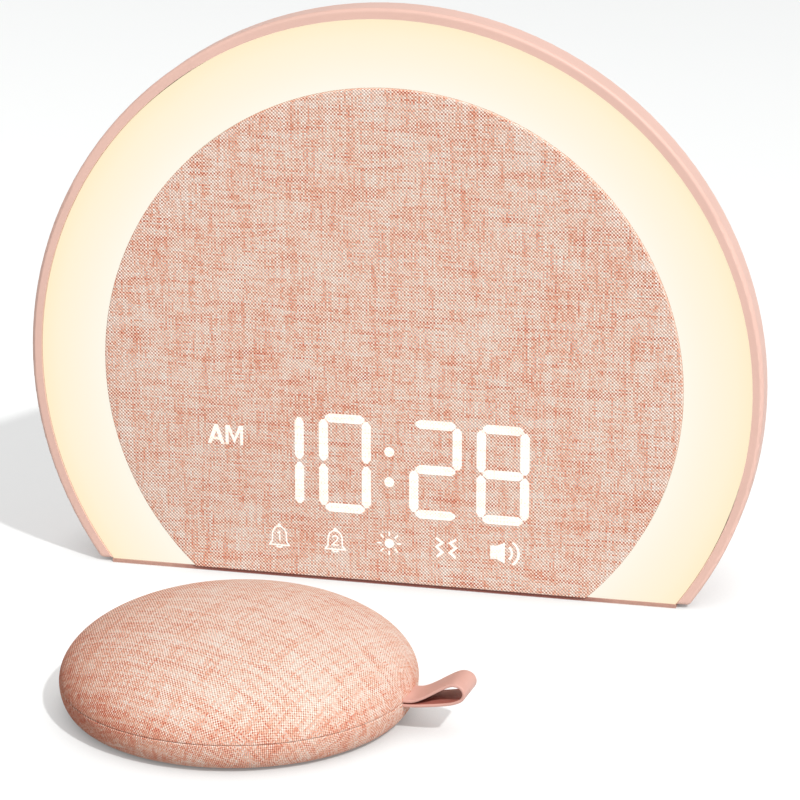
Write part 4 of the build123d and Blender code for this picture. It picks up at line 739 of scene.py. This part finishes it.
BELL_Z = 11.85
BELL_KNOB_Z = BELL_Z + 3.1
BELL = [(-2.75, -2.6), (-2.0, -1.5), (-1.95, 0.7), (-1.5, 1.95), (-0.6, 2.7), (0.6, 2.7), (1.5, 1.95),
        (1.95, 0.7), (2.0, -1.5), (2.75, -2.6)]
CLAPPER = [(-0.85, -2.95), (-0.35, -3.23), (0.35, -3.23), (0.85, -2.95)]
ONE = [(-0.6, 0.7), (0.1, 1.25), (0.1, -1.5)]
TWO = [(-0.8, 0.75), (-0.4, 1.25), (0.35, 1.25), (0.75, 0.75), (0.62, 0.15), (-0.8, -1.35), (0.9, -1.35)]
BELLS = ((-30.5, ONE), (-14.85, TWO))
BELL_LINE = 0.46
BELL_KNOB_RADIUS = 0.5
CLAPPER_LINE = 0.5
FIGURE_LINE = 0.42

SUN = (0.2, 12.2)
SUN_RADIUS = 1.35
SUN_RAYS = (2.1, 3.4)
SUN_RAY_LINE = 0.5
SHAKE_Z = 12.1
SHAKES = ((14.0, 1), (17.85, -1))
SHAKE_LINE = 0.74
ZIGZAG = [(-0.9, 2.75), (0.85, 1.5), (-0.7, 0.2), (0.9, -1.2), (-0.7, -2.65)]
SPEAKER = (31.9, 12.05)
SPEAKER_BOX = [(-3.85, -1.9), (-2.1, -1.9), (-2.1, 1.9), (-3.85, 1.9)]
SPEAKER_HORN = [(-2.1, -1.9), (0.15, -3.0), (0.15, 3.0), (-2.1, 1.9)]
SOUND_RADII = (2.1, 3.9)
SOUND_SPREAD = 0.95
SOUND_STEPS = 8
SOUND_LINE = 0.7


def time_signs(signs):
    """The four digits and the colon between them."""
    side, level = (DIGIT_WIDTH - STROKE) / 2, (DIGIT_HEIGHT - STROKE) / 2
    for x, figure in DIGITS:
        for stroke in LIT[figure]:
            if stroke in "adg":
                rise = {"a": level, "g": 0.0, "d": -level}[stroke]
                signs.bar(x, DIGIT_Z + rise, 2 * side - STROKE_GAP, STROKE, False)
            else:
                shift = side if stroke in "bc" else -side
                rise = level / 2 if stroke in "bf" else -level / 2
                signs.bar(x + shift, DIGIT_Z + rise, level - STROKE_GAP, STROKE, True)
    for z in COLON_HEIGHTS:
        signs.face(circle(COLON_X, z, COLON_RADIUS))


def half_day_sign(signs):
    """The two letters of the half-day sign, each drawn as two mirrored halves."""
    for way in (-1, 1):
        signs.face(moved(A_LEG[::way], LETTER_A_X, LETTER_Z, way))
        signs.face(moved(M_POST[::way], LETTER_M_X, LETTER_Z, way))
        signs.face(moved(M_SLANT[::-way], LETTER_M_X, LETTER_Z, way))
    signs.face(moved(A_BAR, LETTER_A_X, LETTER_Z))


def icon_signs(signs):
    """Two numbered bells, the sun, the shaking sign and the loudspeaker."""
    for x, figure in BELLS:
        signs.ribbon(moved(BELL, x, BELL_Z), BELL_LINE, closed=True)
        signs.face(circle(x, BELL_KNOB_Z, BELL_KNOB_RADIUS, 16))
        signs.ribbon(moved(CLAPPER, x, BELL_Z), CLAPPER_LINE)
        signs.ribbon(moved(figure, x, BELL_Z), FIGURE_LINE)
    signs.face(circle(*SUN, SUN_RADIUS))
    signs.rays(*SUN, *SUN_RAYS, SUN_RAY_LINE)
    for x, way in SHAKES:
        signs.ribbon(moved(ZIGZAG, x, SHAKE_Z, way), SHAKE_LINE)
    signs.face(moved(SPEAKER_BOX, *SPEAKER))
    signs.face(moved(SPEAKER_HORN, *SPEAKER))
    for radius in SOUND_RADII:
        angles = [SOUND_SPREAD * number / SOUND_STEPS for number in range(-SOUND_STEPS, SOUND_STEPS + 1)]
        arc = [(radius * math.cos(angle), radius * math.sin(angle)) for angle in angles]
        signs.ribbon(moved(arc, *SPEAKER), SOUND_LINE)


def display_signs():
    """The time, the half-day sign and the five icons, just in front of the cloth."""
    signs = Signs()
    time_signs(signs)
    half_day_sign(signs)
    icon_signs(signs)
    flat = [(x * MM, z * MM) for x, z in signs.points]
    points = [(x, FRONT - SIGN_RISE, z) for x, z in flat]
    made = mesh_object("display_signs", points, signs.faces, sign_light, smooth=False)
    set_flat(made, flat)
    return made


def key_marks():
    """The marks of the six keys in their order, each drawn about its key's middle."""
    thin_line, figure_line, bold_line = 0.4, 0.5, 0.55
    reach, clock_radius, light_radius = 1.6, 1.9, 0.85
    ray_start, ray_end = 1.3, 2.0
    figure_two = [(1.0, 1.0), (0.5, reach), (-0.4, reach), (-0.9, 1.0),
                  (-0.75, 0.3), (1.0, -1.5), (-1.1, -1.5)]
    one, two, clock, minus, plus, light = [Signs() for key in KEYS]
    one.ribbon([(0.7, 0.9), (0.0, reach), (0.0, -reach)], figure_line)
    two.ribbon(figure_two, figure_line)
    clock.ribbon(circle(0.0, 0.0, clock_radius), thin_line, closed=True)
    clock.ribbon([(0.0, 1.2), (0.0, 0.0), (-0.9, -0.5)], thin_line)
    for sign in (minus, plus):
        sign.ribbon([(-reach, 0.0), (reach, 0.0)], bold_line)
    plus.ribbon([(0.0, bold_line / 2), (0.0, reach)], bold_line)
    plus.ribbon([(0.0, -reach), (0.0, -bold_line / 2)], bold_line)
    light.face(circle(0.0, 0.0, light_radius))
    light.rays(0.0, 0.0, ray_start, ray_end, thin_line)
    return one, two, clock, minus, plus, light


# Materials

rim_pink = solid_material("rim_pink", tone(222, 184, 171), 0.5, grain=0.4 * MM, relief=0.1, vary=0.025)
housing_pink = solid_material("housing_pink", tone(224, 178, 164), 0.55,
                              grain=0.5 * MM, relief=0.3, vary=0.03)
key_pink = solid_material("key_pink", tone(208, 150, 136), 0.48, grain=0.5 * MM, relief=0.2, vary=0.03)
mark_white = solid_material("mark_white", tone(246, 236, 228), 0.6, grain=0.3 * MM, vary=0.03)
foot_brown = foot_material("foot_brown")
inner_white = solid_material("inner_white", tone(236, 234, 228), 0.5, vary=0.03)
chip_black = solid_material("chip_black", tone(30, 30, 33), 0.5, relief=0.25, vary=0.1)
lamp_white = solid_material("lamp_white", tone(250, 240, 206), 0.25, vary=0.04)
lens_white = solid_material("lens_white", tone(248, 248, 246), 0.3, vary=0.02)
shell_brown = solid_material("shell_brown", tone(112, 62, 54), 0.7, relief=0.2)
pad_brown = solid_material("pad_brown", tone(150, 104, 98), 0.85, grain=0.7 * MM, relief=0.4, vary=0.05)
rubber_black = solid_material("rubber_black", tone(34, 33, 34), 0.8, relief=0.3, vary=0.1)
cone_grey = solid_material("cone_grey", tone(58, 57, 56), 0.95, grain=0.9 * MM, relief=0.7, vary=0.15)
ribbon_white = solid_material("ribbon_white", tone(214, 214, 218), 0.45, vary=0.03)
magnet_black = solid_material("magnet_black", tone(42, 42, 45), 0.42, vary=0.1)
weight_grey = solid_material("weight_grey", tone(110, 110, 114), 0.5, 0.9,
                             grain=0.8 * MM, relief=0.5, vary=0.12)
rod_clear = solid_material("rod_clear", tone(226, 238, 236), 0.15, vary=0.02)
steel = brushed_material("steel", tone(186, 186, 190), 0.34)
cell_steel = brushed_material("cell_steel", tone(204, 204, 206), 0.26)
foil = brushed_material("foil", tone(206, 208, 212), 0.45)
board_green = board_material("board_green")
glow = glow_material("glow")
cloth_front = cloth_material("cloth_front", 0.0, FRONT_YARN, FRONT_WARP, FRONT_WEFT,
                             painted_side_pale=0.015, painted_top_pale=0.015, gap=0.37)
# The puck's cloth carries a painted highlight that makes its top paler, and painted shade that makes its
# sides redder
cloth_puck = cloth_material("cloth_puck", PUCK_WEAVE_TURN, PUCK_YARN, PUCK_WARP, PUCK_WEFT,
                            painted_side_pale=-0.05, painted_top_pale=0.022, gap=0.49)
sign_light = sign_material("sign_light")
leather = leather_material("leather")

LOOKS = {
    rim_pink: ["front_frame"],
    housing_pink: ["rear_housing"],
    key_pink: KEYS + ["snooze_bar", "cell_door", "puck_button"],
    glow: ["light_diffuser"],
    foot_brown: ["foot_pad"],
    inner_white: ["light_tray_chassis", "ring_light_board", "front_panel", "display_reflector"],
    lamp_white: ["ring_lamps", "display_lamps"],
    lens_white: ["display_lenses"],
    board_green: ["display_board", "snooze_board", "main_board", "puck_board"],
    chip_black: ["key_switches", "snooze_switch", "board_chips", "cell_cup", "puck_switch", "puck_chips"],
    steel: ["speaker_basket", "housing_screws", "radio_module", "power_socket", "puck_screws",
            "puck_socket", "vibration_motor", "motor_shaft", "motor_bracket", "strap_pin"],
    magnet_black: ["speaker_magnet"],
    cone_grey: ["speaker_cone"],
    rubber_black: ["speaker_surround", "motor_cradle"],
    cell_steel: ["coin_cell"],
    ribbon_white: ["display_ribbon"],
    shell_brown: ["puck_top_shell", "puck_base_shell"],
    pad_brown: ["puck_grip_pad"],
    foil: ["puck_battery"],
    weight_grey: ["swing_weight"],
    rod_clear: ["puck_light_pipe"],
    cloth_front: ["front_cloth"],
    cloth_puck: ["puck_top_cloth", "puck_lower_cloth"],
    leather: ["strap_loop"],
}
for look, names in LOOKS.items():
    for name in names:
        nodes[name].data.materials.clear()
        nodes[name].data.materials.append(look)

# Cloths, strap, display and marks

skin = front_cloth()
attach(skin, "clock")
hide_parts("front_cloth")

upper_cloth, under_cloth = puck_cloths()
for piece, node, rest in ((upper_cloth, "puck_top_cloth", "puck_top_shell"),
                          (under_cloth, "puck_lower_cloth", "puck_base_shell")):
    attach(piece, "puck")
    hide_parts(node)

band, band_length = strap()
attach(band, "puck")
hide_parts("strap_loop")

signs = display_signs()
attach(signs, "clock")

for number, (name, drawing) in enumerate(zip(KEYS, key_marks())):
    middle = KEY_FIRST_X + KEY_PITCH * number
    points = [(middle + x * MM, BACK + MARK_RISE, KEY_Z + z * MM) for x, z in drawing.points]
    faces = [tuple(reversed(face)) for face in drawing.faces]
    mark = mesh_object(name + "_mark", points, faces, mark_white, smooth=False)
    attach(mark, name + "_body")

# Floor, light and camera

FLOOR_REACH = 4.0
FLOOR_COLOUR = (0.49, 0.505, 0.51)
FLOOR_DRIFT = 0.99
FLOOR_GLOW_COLOUR = (0.985, 1.0, 1.0)
# The floor's own light: as seen near and far, by depth, and as thrown on the object
GLOW_NEAR = 0.55
GLOW_FAR = 0.38
GLOW_NEAR_Y = 0.15
GLOW_FAR_Y = 0.9
GLOW_THROWN = 0.12
# The floor's shade close to what stands on it
CONTACT_REACH = 0.025
CONTACT_OPEN = 0.8
CONTACT_LEAST = 0.2
# The floor throws back less light about a spot left of the puck
DIM_SPOT = (PUCK_X - 50.0 * MM, PUCK_Y + 5.0 * MM, 0.0)
DIM_INNER = 30.0 * MM
DIM_OUTER = 80.0 * MM
DIM_LEAST = 0.25


def floor_material(name):
    """Pale ground that takes shadows, and looks brighter to the camera."""
    tree = material_tree(name)
    place = tree.place()
    seen = tree.seen()
    away = tree.add("ShaderNodeVectorMath", {0: place, 1: DIM_SPOT}, operation="DISTANCE").outputs["Value"]
    thrown = tree.remap(away, DIM_INNER, DIM_OUTER, DIM_LEAST, 1.0)
    low = tuple(channel * FLOOR_DRIFT for channel in FLOOR_COLOUR)
    ground = tree.shades(tree.noise(place, 3.0), low, FLOOR_COLOUR)
    far = tree.remap(tree.split(place)[1], GLOW_NEAR_Y, GLOW_FAR_Y, GLOW_NEAR, GLOW_FAR)
    open_share = tree.add("ShaderNodeAmbientOcclusion", {"Distance": CONTACT_REACH}, samples=8).outputs["AO"]
    shown = tree.math("MULTIPLY", far, tree.remap(open_share, 0.0, CONTACT_OPEN, CONTACT_LEAST, 1.0))
    tree.look({"Base Color": tree.scale(ground, tree.blend(seen, thrown, 1.0)), "Roughness": 0.7,
               "Specular IOR Level": 0.1, "Emission Color": FLOOR_GLOW_COLOUR,
               "Emission Strength": tree.blend(seen, tree.math("MULTIPLY", thrown, GLOW_THROWN), shown)})
    return tree.owner


corners = [(-FLOOR_REACH, -FLOOR_REACH, 0), (FLOOR_REACH, -FLOOR_REACH, 0),
           (FLOOR_REACH, FLOOR_REACH, 0), (-FLOOR_REACH, FLOOR_REACH, 0)]
floor = mesh_object("floor", corners, [(0, 1, 2, 3)], floor_material("floor_white"), smooth=False)

# The world's light is dimmer and warmer from the left, and what is seen of the world itself is plain white
WORLD_LEFT = (0.2, 0.17, 0.157)
WORLD_RIGHT = (0.54, 0.54, 0.54)
WORLD_SEEN = (0.96, 0.96, 0.96)
WORLD_TURN = 0.9

sky = Tree(bpy.data.worlds.new("studio"), "Background")
bpy.context.scene.world = sky.owner
way = sky.split(sky.add("ShaderNodeTexCoord").outputs["Generated"])
tint = sky.mix(sky.remap(way[0], -WORLD_TURN, WORLD_TURN), WORLD_LEFT, WORLD_RIGHT)
sky.look({"Color": sky.mix(sky.seen(), tint, WORLD_SEEN), "Strength": 1.0})

SUN_WAY = (-0.7, 0.7, -1.0)
FILL_PLACE = (-0.5, -1.2, 0.6)
FILL_AIM = (0.0, -0.06, 0.05)


def add_light(name, kind, way, place=(0.0, 0.0, 0.0)):
    """Adds a light that shines along a direction, and gives its settings."""
    data = bpy.data.lights.new(name, kind)
    made = bpy.data.objects.new(name, data)
    made.location = place
    made.rotation_euler = Vector(way).to_track_quat("-Z", "Y").to_euler()
    bpy.context.scene.collection.objects.link(made)
    return data


sun = add_light("key", "SUN", SUN_WAY)
sun.energy = 2.85
sun.angle = math.radians(2.5)
sun.color = (1.0, 0.985, 0.965)
fill = add_light("fill", "AREA", Vector(FILL_AIM) - Vector(FILL_PLACE), FILL_PLACE)
fill.size = 0.8
fill.energy = 3.0
fill.color = (1.0, 0.98, 0.96)

# The camera as fitted to the photograph, whose sides are this many pixels long
PICTURE_PIXELS = 800
FOCAL_PIXELS = 3407.4
SENSOR_WIDTH = 36.0
TARGET = Vector((3.03, -25.0, 52.82)) * MM
AZIMUTH = math.radians(13.12)
ELEVATION = math.radians(17.64)
DISTANCE = 0.908

view = bpy.data.cameras.new("camera")
view.sensor_width = SENSOR_WIDTH
view.lens = SENSOR_WIDTH * FOCAL_PIXELS / PICTURE_PIXELS
view.clip_start = 0.05
camera = bpy.data.objects.new("camera", view)
bpy.context.scene.collection.objects.link(camera)
level = math.cos(ELEVATION)
back = Vector((math.sin(AZIMUTH) * level, -math.cos(AZIMUTH) * level, math.sin(ELEVATION)))
camera.location = TARGET + back * DISTANCE
camera.rotation_euler = (-back).to_track_quat("-Z", "Y").to_euler()
bpy.context.scene.camera = camera
bpy.context.scene.view_settings.view_transform = "Standard"
